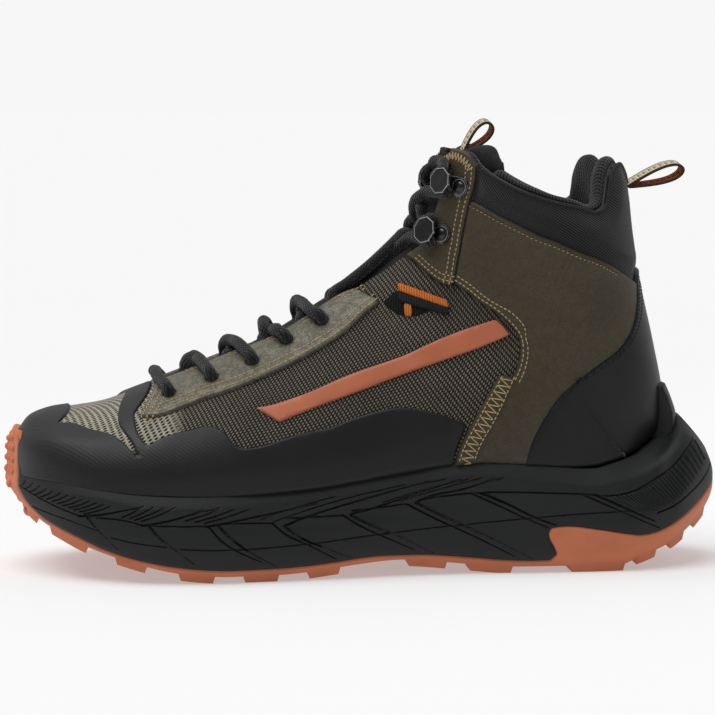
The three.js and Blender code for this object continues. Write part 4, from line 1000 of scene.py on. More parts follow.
def mesh_material(name, ground, bead, pitch, bead_size=0.34, depth=0.35, toe_painted_light_bead=None):
    """Netting of light yarn. At the toe the yarn can be thicker, with small dark holes, and is painted
    lighter where the toe faces up: painted light.
    """
    g = new_graph(name)

    def netting(beads, **settings):
        net = use_group(g, "Netting", {"Cloth": g.attribute("cloth", "Vector"), "Bead": bead_size,
                                       **settings})
        height = g.math("ADD", net["Height"], g.math("MULTIPLY", net["Yarn"], 0.12))
        return g.mix(net["Beads"], ground, beads), height

    colour, height = netting(bead, Pitch=pitch)
    # The toe's copy of the net is lighter than the sides': painted light where it faces up, against the
    # sides' painted shade.
    if toe_painted_light_bead:
        toe = g.spread(g.parts(g.object_vector())[0], 0.180, 0.187)
        toe_painted_light_colour, toe_height = netting(toe_painted_light_bead, Pitch=TOE_PITCH * pitch, Holes=1.0)
        colour = g.mix(toe, colour, toe_painted_light_colour)
        height = g.math("ADD", g.math("MULTIPLY", height, g.math("SUBTRACT", 1.0, toe)),
                        g.math("MULTIPLY", toe_height, toe))
    tone = use_group(g, "Handled tone", {"Vector": g.object_vector(), "Amount": 0.14})
    return finish_material(name, scaled(g, colour, tone["Tone"]), 0.85, g.bump(height, depth * MM),
                           specular=0.25, graph=g)


def film_material(name, colour):
    g = new_graph(name)
    along, around, _ = g.parts(g.attribute("cloth", "Vector"))
    slant = g.math("ADD", g.math("MULTIPLY", along, 0.62), g.math("MULTIPLY", around, 0.78))
    rib = use_group(g, "Ribbing", {"Length": slant, "Pitch": 1.05, "Sharp": 1.4})["Height"]
    fine = g.noise(g.object_vector(), 2600.0, 1.0)
    edge = use_group(g, "Edge fade", {"Distance": g.attribute("edge"), "Width": 1.6})["Mask"]
    flat = g.math("SUBTRACT", 1.0, edge)
    height = g.math("ADD", g.math("MULTIPLY", rib, flat), g.math("MULTIPLY", fine, 0.35))
    tone = use_group(g, "Handled tone", {"Vector": g.object_vector(), "Amount": 0.1})
    value = g.math("MULTIPLY", tone["Tone"], g.spread(rib, 0.0, 1.0, 0.96, 1.03))
    rough = g.math("ADD", 0.52, tone["Rough"])
    return finish_material(name, scaled(g, colour, value), rough, g.bump(height, 0.03 * MM),
                           specular=0.3, graph=g)


def moulded_material(name, colour, roughness, pebbles, depth, groove_shade, specular=0.25):
    """Foam or rubber: a fine moulded skin, with painted shade in its grooves and between the heel's ribs, and
    darker along the rubber's seam.
    """
    g = new_graph(name)
    vector = g.object_vector()
    skin = g.cells(vector, pebbles, "SMOOTH_F1")
    fine = g.noise(vector, pebbles * 1.7, 2.0)
    height = g.math("ADD", g.math("MULTIPLY", skin, 0.7), g.math("MULTIPLY", fine, 0.5))
    tone = use_group(g, "Handled tone", {"Vector": vector, "Amount": 0.07, "Scale": 55.0})
    # The groove attribute darkens the colour: painted shade in the grooves and between the heel's ribs, and
    # darker along the seam.
    shade = g.math("SUBTRACT", 1.0, g.math("MULTIPLY", g.attribute("groove"), groove_shade))
    value = g.math("MULTIPLY", tone["Tone"], shade)
    rough = g.math("ADD", roughness, tone["Rough"])
    return finish_material(name, scaled(g, colour, value), rough, g.bump(height, depth * MM),
                           specular=specular, graph=g)


def twill_material(name, colour, pitch, roughness=0.86, slant=1.1, depth=0.22):
    g = new_graph(name)
    along, around, _ = g.parts(g.attribute("cloth", "Vector"))
    rib = use_group(g, "Ribbing", {"Length": g.math("ADD", g.math("MULTIPLY", along, slant), around),
                                   "Pitch": pitch, "Sharp": 0.8})["Height"]
    cross = use_group(g, "Ribbing", {"Length": g.math("SUBTRACT", g.math("MULTIPLY", along, slant),
                                                      around),
                                     "Pitch": pitch, "Sharp": 0.6})["Height"]
    height = g.math("MULTIPLY", rib, g.spread(cross, 0.0, 1.0, 0.3, 1.0))
    tone = use_group(g, "Handled tone", {"Vector": g.object_vector(), "Amount": 0.12})
    value = g.math("MULTIPLY", tone["Tone"], g.spread(height, 0.1, 0.8, 0.1, 1.8))
    return finish_material(name, scaled(g, colour, value), roughness, g.bump(height, depth * MM),
                           specular=0.2, sheen=0.15, graph=g)


def tape_material(name, colour, pitch=1.35, coordinate="X"):
    g = new_graph(name)
    along, around, _ = g.parts(g.attribute("cloth", "Vector"))
    rib = use_group(g, "Ribbing", {"Length": along if coordinate == "X" else around,
                                   "Pitch": pitch, "Sharp": 0.7})["Height"]
    yarn = g.noise(g.object_vector(), 1800.0, 2.0)
    value = g.math("MULTIPLY", g.spread(rib, 0.0, 1.0, 0.62, 1.08), g.spread(yarn, 0.2, 0.8, 0.85, 1.15))
    height = g.math("ADD", rib, g.math("MULTIPLY", yarn, 0.3))
    return finish_material(name, scaled(g, colour, value), 0.85, g.bump(height, 0.3 * MM),
                           specular=0.25, graph=g)


def loop_material(name, face, edge, ticks):
    """Woven ribbon: one colour with darker edges and rows of dark ticks."""
    g = new_graph(name)
    along, across, _ = g.parts(g.attribute("cloth", "Vector"))
    rib = use_group(g, "Ribbing", {"Length": along, "Pitch": 1.3, "Sharp": 0.7})["Height"]
    side = g.spread(g.math("ABSOLUTE", across), 0.5 * LOOP_WIDTH - 1.2, 0.5 * LOOP_WIDTH - 0.9)
    inner = g.math("ABSOLUTE", g.math("SUBTRACT", g.math("ABSOLUTE", across), 0.9))
    row = g.math("SUBTRACT", 1.0, g.spread(inner, 0.35, 0.6))
    tick = g.math("MULTIPLY", row, g.spread(use_group(
        g, "Ribbing", {"Length": along, "Pitch": 2.6, "Sharp": 1.0})["Height"], 0.45, 0.6))
    colour = g.mix(side, g.mix(tick, face, ticks), edge)
    value = g.spread(rib, 0.0, 1.0, 0.7, 1.06)
    return finish_material(name, scaled(g, colour, value), 0.85, g.bump(rib, 0.22 * MM),
                           specular=0.25, graph=g)


def lace_material(name, colour):
    g = new_graph(name)
    braid = use_group(g, "Braid", {"Along": g.attribute("along"), "Around": g.attribute("around"),
                                   "Pitch": 1.9, "Strands": 5.0})
    light = g.mix(braid["Fleck"], scaled(g, colour, g.spread(braid["Height"], 0.0, 1.0, 0.5, 1.25)),
                  scaled(g, colour, 3.4))
    yarn = g.noise(g.object_vector(), 2600.0, 2.0)
    height = g.math("ADD", braid["Height"], g.math("MULTIPLY", yarn, 0.2))
    return finish_material(name, light, 0.86, g.bump(height, 0.45 * MM), specular=0.25, sheen=0.2,
                           graph=g)


def thread_material(name, colour):
    g = new_graph(name)
    twist = g.noise(g.object_vector(), 1500.0, 2.0)
    value = g.spread(twist, 0.25, 0.75, 0.72, 1.2)
    return finish_material(name, scaled(g, colour, value), 0.7, g.bump(twist, 0.12 * MM),
                           specular=0.35, graph=g)


def trim_material(name, colour):
    g = new_graph(name)
    vector = g.object_vector()
    fine = g.noise(vector, 1500.0, 3.0)
    edge = use_group(g, "Edge fade", {"Distance": g.attribute("edge"), "Width": 0.9})["Mask"]
    tone = use_group(g, "Handled tone", {"Vector": vector, "Amount": 0.05, "Scale": 60.0})
    value = g.math("SUBTRACT", tone["Tone"], g.math("MULTIPLY", edge, 0.3))
    value = g.math("MULTIPLY", value, g.spread(fine, 0.2, 0.8, 0.94, 1.06))
    return finish_material(name, scaled(g, colour, value), g.math("ADD", 0.5, tone["Rough"]),
                           g.bump(fine, 0.06 * MM), specular=0.4, graph=g)


def metal_material(name, colour):
    g = new_graph(name)
    vector = g.object_vector()
    fine = g.noise(vector, 1900.0, 2.0)
    worn = g.spread(g.noise(vector, 240.0, 4.0, 0.7), 0.55, 0.75)
    colour = g.mix(g.math("MULTIPLY", worn, 0.12), colour, rgb(110, 110, 114))
    rough = g.math("ADD", 0.26, g.math("MULTIPLY", fine, 0.12))
    return finish_material(name, colour, rough, g.bump(fine, 0.03 * MM), metallic=0.2, coat=0.35,
                           coat_roughness=0.15, graph=g)


def knit_material(name, colour, pitch=1.6):
    """Lining with upright rows of chain stitches."""
    g = new_graph(name)
    along, around, _ = g.parts(g.attribute("cloth", "Vector"))
    wale = use_group(g, "Ribbing", {"Length": around, "Pitch": pitch, "Sharp": 0.6})["Height"]
    loop = use_group(g, "Ribbing", {"Length": g.math("ADD", along, g.math("MULTIPLY", wale, 0.8)),
                                    "Pitch": pitch * 0.9, "Sharp": 0.7})["Height"]
    height = g.math("MULTIPLY", wale, g.spread(loop, 0.0, 1.0, 0.4, 1.0))
    tone = use_group(g, "Handled tone", {"Vector": g.object_vector(), "Amount": 0.1})
    value = g.math("MULTIPLY", tone["Tone"], g.spread(height, 0.1, 0.8, 0.15, 1.8))
    return finish_material(name, scaled(g, colour, value), 0.9, g.bump(height, 0.4 * MM),
                           specular=0.2, sheen=0.2, graph=g)


def material(name):
    """Each finish by its name, built the first time that it is asked for."""
    if name in bpy.data.materials:
        return bpy.data.materials[name]
    c = colours()
    makers = {
        "Rust rubber": lambda n: moulded_material(n, tuple(c.rubber), 0.58, 1500.0, 0.05, 0.55),
        "Black foam": lambda n: moulded_material(n, tuple(c.foam), 0.55, 1100.0, 0.08, 0.65),
        # The side mesh is painted darker and its toe lighter: painted shade and painted light on one net.
        "Side mesh": lambda n: mesh_material(n, tuple(c.mesh_ground), tuple(c.mesh_bead),
                                             size_mm("netting"), toe_painted_light_bead=rgb(178, 172, 155)),
        "Toe film": lambda n: film_material(n, tuple(c.film)),
        "Olive leather": lambda n: leather_material(n, tuple(c.olive), 1500.0, 0.3, 0.5, 0.12,
                                                    contrast=0.75),
        # The eyestay is the quarter's olive leather painted lighter where it faces up: painted light and
        # sheen.
        "Eyestay leather": lambda n: leather_material(n, rgb(106, 101, 85), 1300.0, 0.5, 0.36, 0.2,
                                                      coat=0.15, contrast=0.8),
        "Black counter": lambda n: leather_material(n, tuple(c.counter), 1500.0, 0.15, 0.44, 0.04,
                                                    coat=0.05, contrast=0.5),
        "Collar twill": lambda n: twill_material(n, tuple(c.textile), 2.1),
        "Lining knit": lambda n: knit_material(n, tuple(c.lining)),
        "Tongue mesh": lambda n: mesh_material(n, tuple(c.textile), rgb(70, 68, 62),
                                               size_mm("netting") * 0.9, 0.3),
        "Trim film": lambda n: trim_material(n, tuple(c.trim)),
        "Orange tape": lambda n: tape_material(n, tuple(c.orange_tape)),
        "Black tape": lambda n: tape_material(n, rgb(28, 28, 30)),
        # The slot's near-black sheet is painted shade.
        "Slot cloth": lambda n: tape_material(n, rgb(8, 8, 8)),
        "Cream ribbon": lambda n: loop_material(n, tuple(c.cream), rgb(60, 52, 40), rgb(52, 44, 34)),
        "Orange ribbon": lambda n: loop_material(n, tuple(c.orange_tape), rgb(70, 46, 28),
                                                 rgb(70, 40, 20)),
        "Braided lace": lambda n: lace_material(n, tuple(c.lace)),
        "Tan thread": lambda n: thread_material(n, tuple(c.thread)),
        "Black thread": lambda n: thread_material(n, tuple(c.dark_thread)),
        "Hook metal": lambda n: metal_material(n, tuple(c.metal)),
        # The hooks' bevels get a light grey: a painted highlight along their rims.
        "Hook edge": lambda n: metal_material(n, rgb(160, 160, 164)),
        "Piping cord": lambda n: twill_material(n, tuple(c.textile), 1.0),
    }
    return makers[name](name)


def dress(piece, *names):
    piece.data.materials.clear()
    for name in names:
        piece.data.materials.append(material(name))
    return piece


# Shapes that several pieces share.
THROAT_FROM = 4.7
THROAT_START = 0.6
THROAT_WIDENING = 0.2
THROAT_STEP = 15.0
THROAT_PINCH = 5.5
PINCH_MIDDLE = 9.2
PINCH_REACH = 2.6
TONGUE_FROM = 4.0
TONGUE_TOP = 17.2
TONGUE_WIDENING = 0.1
EDGE_TUCK = 0.15
LAP = CLEARANCE + 0.45
TUCK = 3.5
TOE_RIM = 41.5
HEEL_DRAW = 2.3
TOE_TOP_DRAW = 1.6
TOE_FRONT_SWELL = 1.4
COLLAR_EDGE = smooth_line(on_upper([*COLLAR_LINE, *ABOVE_COLLAR]), True)
# Soft creases of the worn-in flex points: two ends in the side view in mm, depth and half width.
CREASES = [
    (104.0, 118.0, 84.0, 104.0, 0.55, 5.0), (92.0, 96.0, 62.0, 84.0, 0.45, 6.0),
    (60.0, 112.0, 40.0, 96.0, 0.40, 5.5), (46.0, 120.0, 22.0, 112.0, 0.35, 5.0),
    (196.0, 62.0, 176.0, 74.0, 0.25, 5.0),
]


def crease_depth(points):
    """How far the soft creases pull the surface in, with a low swell beside each."""
    depth = np.zeros(len(points))
    for x0, z0, x1, z1, deep, half in CREASES:
        distance, _ = distance_to(np.array([[x0, z0], [x1, z1]]), points[:, [0, 2]], False)
        depth += deep * hill(distance, 0.0, half) - 0.4 * deep * hill(distance, 1.5 * half, half)
    return depth


def tuck_in(points):
    """How far the form is drawn in below the sole's rim, where the foam holds it."""
    rim = sole_section(np.linspace(TAB_ROW + 1, LAST_ROW, 200))
    height = np.minimum(np.interp(points[:, 0], rim[:, 1], rim[:, 3]), TOE_RIM)
    height = np.where(points[:, 0] > 200, height, np.interp(points[:, 0], rim[:, 1], rim[:, 3]))
    depth = TUCK * ramp(height + 0.4 - points[:, 2], 0.0, 3.0)
    x, z = points[:, 0], points[:, 2]
    depth += HEEL_DRAW * ramp(25 - x, 0, 28) * ramp(133 - z, 0, 11)
    depth += TOE_TOP_DRAW * ramp(x, 195, 222) * ramp(z, 56, 64)
    return depth - TOE_FRONT_SWELL * ramp(x, 228, 246) * (1 - ramp(z, 52, 60))


def throat_half(at):
    narrowed = THROAT_PINCH * hill(at, PINCH_MIDDLE, PINCH_REACH)
    return THROAT_GAP * np.minimum(1, THROAT_START + THROAT_WIDENING * (at - THROAT_FROM)) - narrowed


def outside_throat(place, points):
    at = place[:, 0]
    aside = np.abs(points[:, 1] - upper_section(at)[:, 9])
    return -np.minimum(throat_half(at) - aside, (at - THROAT_FROM) * THROAT_STEP)


def eyelet_centres():
    places = []
    for x, z in EYELETS:
        for inner in (False, True):
            at, turn = on_side(along_foot(x), up_shaft(z), inner)
            places.append(surface(at, turn))
    return np.array(places)


def outside_eyelets(points, radius):
    gaps = np.linalg.norm(points[:, None, :] - eyelet_centres()[None], axis=-1)
    return gaps.min(axis=1) - radius


def piece_of_form(at_range=(0, LAST_SECTION), turn_range=(0, 2)):
    at = FORM.at[(FORM.at >= at_range[0]) & (FORM.at <= at_range[1])]
    turn = FORM.turn[(FORM.turn >= turn_range[0] - 1e-9) & (FORM.turn <= turn_range[1] + 1e-9)]
    return Patch(at, turn)


def sheet_over(name, outline, height, finish, base=CLEARANCE, holes=(), at_range=(0, LAST_SECTION),
               turn_range=(0, 2), throat=False, collar=False, eyelets=False, edge=0.9, puff=0.0,
               puff_width=9.0, smooth_corners=True, thicker=None):
    """A cut sheet on the form: rounded along its outline, which is given in the side view."""
    line = smooth_line(outline, True) if smooth_corners else np.array(outline, float)
    gaps = [smooth_line(hole, True) for hole in holes]
    patch = piece_of_form(at_range, turn_range)
    low, high = line.min(axis=0) - 4, line.max(axis=0) + 4
    points = surface(patch.place[:, 0], patch.place[:, 1])
    boxed = ((points[:, 0] > low[0]) & (points[:, 0] < high[0])
             & (points[:, 2] > low[1]) & (points[:, 2] < high[1]))
    patch.keep_near(np.where(boxed, 1.0, -9.0), 1.0)
    patch.compact()

    def depth_inside():
        at, turn = patch.place.T
        points = surface(at, turn)
        normals = outward(at, turn)
        inside = within(line, points, normals)
        for gap in gaps:
            inside = np.minimum(inside, -within(gap, points, normals))
        if throat:
            inside = np.minimum(inside, outside_throat(patch.place, points))
        if collar:
            inside = np.minimum(inside, -within(COLLAR_EDGE, points, normals))
        if eyelets:
            inside = np.minimum(inside, outside_eyelets(points, size_mm("eyelet")))
        return inside

    patch.cut(depth_inside(), keep_inside=True)
    patch.compact()
    for level in (0.3, 1.0):
        patch.cut(depth_inside() - level * edge)
    patch.compact()
    inside = np.maximum(depth_inside(), 0)
    at, turn = patch.place.T
    rounded = np.sqrt(1 - (1 - np.clip(inside / edge, 0, 1)) ** 2)
    offset = -EDGE_TUCK + (base + height + EDGE_TUCK) * rounded
    beside_heel = ramp(np.minimum(turn, 2 - turn), 0.02, 0.22)
    offset += puff * ramp(inside, 0, puff_width) * beside_heel
    points = surface(at, turn)
    offset -= crease_depth(points) + tuck_in(points)
    if thicker is not None:
        offset += np.interp(points[:, 2], *thicker) * rounded
    points = off_surface(at, turn, offset)
    piece = make_object(name, points, patch.faces,
                        {"edge": inside, "cloth": FORM.read_cloth(at, turn)})
    return dress(piece, finish)


SIDES = {"outer": (0, 1), "inner": (1, 2)}


def both_sides(name, outline, *args, **settings):
    pieces = [sheet_over(f"{name}_{side}", outline, *args, turn_range=turns, **settings)
              for side, turns in SIDES.items()]
    return join(pieces, name)


def side_places(line, inner=False):
    """The form's places at points of the side view in mm."""
    line = np.asarray(line, float)
    return on_side(line[:, 0], line[:, 1], inner)


def even_line(points, pitch):
    """Places at one pitch along a line in space, as indexes between its points."""
    lengths = np.concatenate([[0], np.cumsum(np.linalg.norm(np.diff(points, axis=0), axis=1))])
    count = max(int(lengths[-1] / pitch), 1)
    return np.interp(np.arange(count + 1) * lengths[-1] / count, lengths, np.arange(len(points))), lengths


def read_line(values, index):
    i = np.clip(np.floor(index).astype(int), 0, len(values) - 2)
    t = (index - i)[:, None]
    return values[i] * (1 - t) + values[i + 1] * t


# Sewing.
class Sewing:
    """Collects stitches of one thread and makes them one piece."""

    def __init__(self):
        self.starts, self.ends, self.normals = [], [], []

    def stitch(self, start, end, normal):
        self.starts.append(start)
        self.ends.append(end)
        self.normals.append(normal)

    def row(self, line, lift, pitch=None, length=None, sides=(False, True), slant=0.0):
        """A run of stitches along a side-view line, on one or both sides of the foot."""
        length = length or size_mm("stitch_length")
        for inner in sides:
            self.run(*side_places(line, inner), lift, pitch, length, slant)

    def run(self, at, turn, lift, pitch, length, slant):
        pitch = pitch or size_mm("stitch_pitch")
        if len(at):
            flat = surface(at, turn)
            points = off_surface(at, turn, lift - crease_depth(flat) - tuck_in(flat))
            normals = outward(at, turn)
            index, _ = even_line(points, pitch)
            centres = read_line(points, index[:-1] / 2 + index[1:] / 2)
            ups = unit(read_line(normals, index[:-1] / 2 + index[1:] / 2))
            along = unit(np.diff(read_line(points, index), axis=0))
            aside = np.cross(ups, along)
            way = unit(along + slant * aside)
            for centre, up, leg in zip(centres, ups, way):
                self.stitch(centre - leg * length / 2, centre + leg * length / 2, up)

    def zigzag(self, line, lift, half, step, sides=(False, True)):
        for inner in sides:
            at, turn = side_places(line, inner)
            flat = surface(at, turn)
            points = off_surface(at, turn, lift - crease_depth(flat) - tuck_in(flat))
            normals = outward(at, turn)
            index, _ = even_line(points, step)
            spots, ups = read_line(points, index), unit(read_line(normals, index))
            along = unit(np.gradient(spots, axis=0))
            aside = np.cross(ups, along)
            sign = np.where(np.arange(len(spots)) % 2 == 0, 1, -1)[:, None]
            corners = spots + aside * sign * half
            for a, b, up in zip(corners[:-1], corners[1:], ups):
                self.stitch(a, b, up)

    def make(self, name, width, finish):
        bpy.ops.mesh.primitive_uv_sphere_add(segments=6, ring_count=4, radius=0.5)
        template = bpy.context.active_object
        coordinates = np.array([v.co[:] for v in template.data.vertices])
        faces = [list(p.vertices) for p in template.data.polygons]
        bpy.data.objects.remove(template)
        starts, ends = np.array(self.starts), np.array(self.ends)
        ups = unit(np.array(self.normals))
        legs = ends - starts
        lengths = np.linalg.norm(legs, axis=1)
        along = unit(legs)
        aside = unit(np.cross(ups, along))
        ups = np.cross(along, aside)
        middles = (starts + ends) / 2
        blunt = np.sign(coordinates[:, 2]) * np.abs(2 * coordinates[:, 2]) ** 0.7 / 2
        body = (along[:, None] * (blunt[None, :, None] * (lengths[:, None, None] + width * 0.3))
                + aside[:, None] * coordinates[None, :, 0:1] * width
                + ups[:, None] * coordinates[None, :, 1:2] * width * 0.8)
        points = (middles[:, None] + body).reshape(-1, 3)
        n = len(coordinates)
        all_faces = [[k + i * n for k in face] for i in range(len(starts)) for face in faces]
        piece = make_object(name, points, all_faces, merge=0)
        edit_all(piece, "normals_make_consistent")
        return dress(piece, finish)


def edge_run(outline, start, end, inset):
    """Part of an outline between two of its corners by number, moved inwards."""
    line = smooth_line(on_upper(outline), True)
    first, last = start * STEPS_A_SIDE, end * STEPS_A_SIDE
    if last <= first:
        last += len(line)
    picked = np.array([line[k % len(line)] for k in range(first, last + 1)])
    legs = np.gradient(picked, axis=0)
    normals = np.stack([-legs[:, 1], legs[:, 0]], -1)
    normals /= np.maximum(np.linalg.norm(normals, axis=1, keepdims=True), 1e-9)
    moved = picked + normals * inset
    if not is_within(line, moved[len(moved) // 2:len(moved) // 2 + 1])[0]:
        moved = picked - normals * inset
    return moved


# Tubes and cords.
def spline(points, step):
    """A smooth line through points in space, resampled evenly."""
    read = curve_through(points)
    fine = read(np.linspace(0, len(points) - 1, 12 * len(points)))
    index, _ = even_line(fine, step)
    return read_line(fine, index)


def sweep(points, radius, sides, name, finish, closed_ends=True, flatten=None):
    """A round tube along points, with its lengths along and around as attributes."""
    points = np.asarray(points)
    count = len(points)
    tangents = unit(np.gradient(points, axis=0))
    normal = np.cross(tangents[0], [0.0, 0.0, 1.0])
    if np.linalg.norm(normal) < 0.2:
        normal = np.cross(tangents[0], [0.0, 1.0, 0.0])
    normal = unit(normal)
    frames = []
    for tangent in tangents:
        normal = unit(normal - tangent * (normal @ tangent))
        frames.append((normal, np.cross(tangent, normal)))
    lengths = np.concatenate([[0], np.cumsum(np.linalg.norm(np.diff(points, axis=0), axis=1))])
    radii = np.broadcast_to(np.asarray(radius, float), (count,)).copy()
    angles = np.arange(sides) * 2 * np.pi / sides
    rings = []
    for i in range(count):
        a, b = frames[i]
        squash = 1.0 if flatten is None else flatten[i]
        rings.append(points[i] + radii[i] * (np.cos(angles)[:, None] * a
                                             + squash * np.sin(angles)[:, None] * b))
    vertices = np.vstack(rings)
    along = np.repeat(lengths, sides)
    around = np.tile(np.abs(np.arange(sides) / sides * 2 - 1), count)
    faces = []
    for i in range(count - 1):
        for k in range(sides):
            m = (k + 1) % sides
            faces.append([i * sides + k, i * sides + m, (i + 1) * sides + m, (i + 1) * sides + k])
    if closed_ends:
        faces.append(list(range(sides))[::-1])
        faces.append([(count - 1) * sides + k for k in range(sides)])
    cloth = np.stack([along, 2 * np.pi * np.tile(np.arange(sides) / sides, count) * radii.mean()], -1)
    piece = make_object(name, vertices, faces, {"along": along, "around": around, "cloth": cloth},
                        merge=0)
    return dress(piece, finish)


# Padding.
def swell(piece, held, pressure, cap, frames=20):
    """Blows a closed piece up a little with the cloth solver, as its filling does."""
    mesh = piece.data
    before = np.zeros(len(mesh.vertices) * 3)
    mesh.vertices.foreach_get("co", before)
    before = before.reshape(-1, 3)
    group = piece.vertex_groups.new(name="held")
    for i in np.flatnonzero(held > 0):
        group.add([int(i)], float(held[i]), "REPLACE")
    only(piece)
    bpy.ops.object.modifier_add(type="CLOTH")
    cloth = piece.modifiers[-1]
    cloth.settings.use_pressure = True
    cloth.settings.uniform_pressure_force = pressure
    cloth.settings.vertex_group_mass = group.name
    cloth.settings.effector_weights.gravity = 0
    cloth.settings.quality = 6
    cloth.settings.bending_stiffness = 0.6
    cloth.collision_settings.use_self_collision = False
    cloth.collision_settings.use_collision = False
    scene = bpy.context.scene
    for number in range(1, frames + 1):
        scene.frame_set(number)
    shaped = piece.evaluated_get(bpy.context.evaluated_depsgraph_get()).to_mesh()
    after = np.zeros(len(shaped.vertices) * 3)
    shaped.vertices.foreach_get("co", after)
    after = after.reshape(-1, 3)
    piece.evaluated_get(bpy.context.evaluated_depsgraph_get()).to_mesh_clear()
    piece.modifiers.remove(cloth)
    scene.frame_set(1)
    move = after - before
    reach = np.linalg.norm(move, axis=1, keepdims=True)
    move *= np.minimum(1, cap * MM / np.maximum(reach, 1e-9))
    mesh.vertices.foreach_set("co", (before + move).ravel())
    mesh.update()
    piece.vertex_groups.remove(piece.vertex_groups["held"])


# The stage.
CAMERA_TARGET = (0.103, 0.0, 0.0887)
CAMERA_YAW = math.radians(7.0)
CAMERA_RISE = math.radians(5.0)
CAMERA_DISTANCE = 1.3
PHOTO_WIDTH = 715
FOCAL_PIXELS = 3019.0
SENSOR = 36.0
WHITE = 0.93
BRIGHT_SIDE = 0.62
DARK_SIDE = 0.16
FLOOR_SIZE = 60.0
FLOOR_COLOUR = (0.56, 0.56, 0.56)
# The floor glows, which lifts the boot's shadow on it, and glows more near the boot than far off: painted
# light.
FLOOR_GLOW = 0.325
NEAR_GLOW = 1.07
FAR_GLOW = 0.955
SUN_FROM = (0.3, 0.12, 1.0)
SUN_SPREAD = math.radians(50)
SUN_STRENGTH = 2.3


class BOOT_OT_stage(bpy.types.Operator):
    """Adds the pale floor, the soft lights and the camera at the photograph's angle"""
    bl_idname = "boot.stage"
    bl_label = "Stage"

    def execute(self, context):
        camera = bpy.data.objects.new("camera", bpy.data.cameras.new("camera"))
        context.collection.objects.link(camera)
        back = Vector((math.sin(CAMERA_YAW) * math.cos(CAMERA_RISE),
                       math.cos(CAMERA_YAW) * math.cos(CAMERA_RISE), math.sin(CAMERA_RISE)))
        camera.location = Vector(CAMERA_TARGET) + CAMERA_DISTANCE * back
        camera.rotation_euler = back.to_track_quat("Z", "Y").to_euler()
        camera.data.sensor_width = SENSOR
        camera.data.lens = SENSOR * FOCAL_PIXELS / PHOTO_WIDTH
        camera.data.clip_start = 0.05
        context.scene.camera = camera
        bpy.ops.mesh.primitive_plane_add(size=FLOOR_SIZE)
        floor = bpy.context.active_object
        floor.name = "floor"
        g = new_graph("Pale floor")
        tone = use_group(g, "Handled tone", {"Vector": g.object_vector(), "Amount": 0.003,
                                             "Scale": 1.5})
        floor.data.materials.append(finish_material(
            "Pale floor", scaled(g, FLOOR_COLOUR, tone["Tone"]), 0.9, None, specular=0.0, graph=g))
        shader = g.tree.nodes["Principled BSDF"]
        # Painted light: the floor's glow, stronger near the boot, lightens the boot's shadow on the floor.
        shader.inputs["Emission Color"].default_value = (1, 1, 1, 1)
        shader.inputs["Emission Strength"].default_value = FLOOR_GLOW
        x, y, _ = g.parts(g.object_vector())
        away = g.math("SQRT", g.math("ADD", g.math("MULTIPLY", x, x), g.math("MULTIPLY", y, y)))
        g.feed(shader.inputs["Emission Color"],
               scaled(g, (1.0, 1.0, 1.0), g.spread(away, 0.15, 0.9, NEAR_GLOW, FAR_GLOW)))
        sun = bpy.data.objects.new("soft_sun", bpy.data.lights.new("soft_sun", "SUN"))
        sun.data.energy = SUN_STRENGTH
        sun.data.angle = SUN_SPREAD
        sun.rotation_euler = Vector(SUN_FROM).to_track_quat("Z", "Y").to_euler()
        context.collection.objects.link(sun)
        context.scene.world = self.studio()
        context.scene.view_settings.view_transform = "Standard"
        return {"FINISHED"}

    def studio(self):
        """A white studio that is bright behind the boot and darker on the camera's side."""
        world = bpy.data.worlds.new("studio")
        world.use_nodes = True
        g = Graph(world.node_tree)
        way = g.parts(g.add("ShaderNodeTexCoord").outputs["Generated"])[1]
        glow = g.spread(way, -0.3, 0.5, BRIGHT_SIDE, DARK_SIDE)
        seen = g.add("ShaderNodeLightPath").outputs["Is Camera Ray"]
        strength = g.math("ADD", glow, g.math("MULTIPLY", seen, g.math("SUBTRACT", WHITE, glow)))
        background = world.node_tree.nodes["Background"]
        background.inputs["Color"].default_value = (1, 1, 1, 1)
        g.feed(background.inputs["Strength"], strength)
        return world


# The upper and what is sewn on it.
class BOOT_OT_upper(bpy.types.Operator):
    """Makes the mesh upper as one shell with its throat, collar and punched eyelets"""
    bl_idname = "boot.upper"
    bl_label = "Mesh upper"

    def execute(self, context):
        patch = piece_of_form()

        def left():
            at, turn = patch.place.T
            points = surface(at, turn)
            inside = np.minimum(outside_throat(patch.place, points),
                                -within(COLLAR_EDGE, points, outward(at, turn)))
            return np.minimum(inside, outside_eyelets(points, size_mm("eyelet")))

        patch.cut(left(), keep_inside=True)
        patch.compact()
        at, turn = patch.place.T
        inside = np.maximum(left(), 0)
        points = surface(at, turn)
        points = off_surface(at, turn, -crease_depth(points) - tuck_in(points))
        piece = make_object("upper_shell", points, patch.faces,
                            {"edge": inside, "cloth": FORM.read_cloth(at, turn)})
        dress(piece, "Side mesh", "Lining knit")
        with_modifier(piece, "SOLIDIFY", thickness=(UPPER_WALL - 0.1) * MM, offset=-1,
                      material_offset=1, material_offset_rim=1)
        place_on_root(piece, "mesh", "upper")
        return {"FINISHED"}


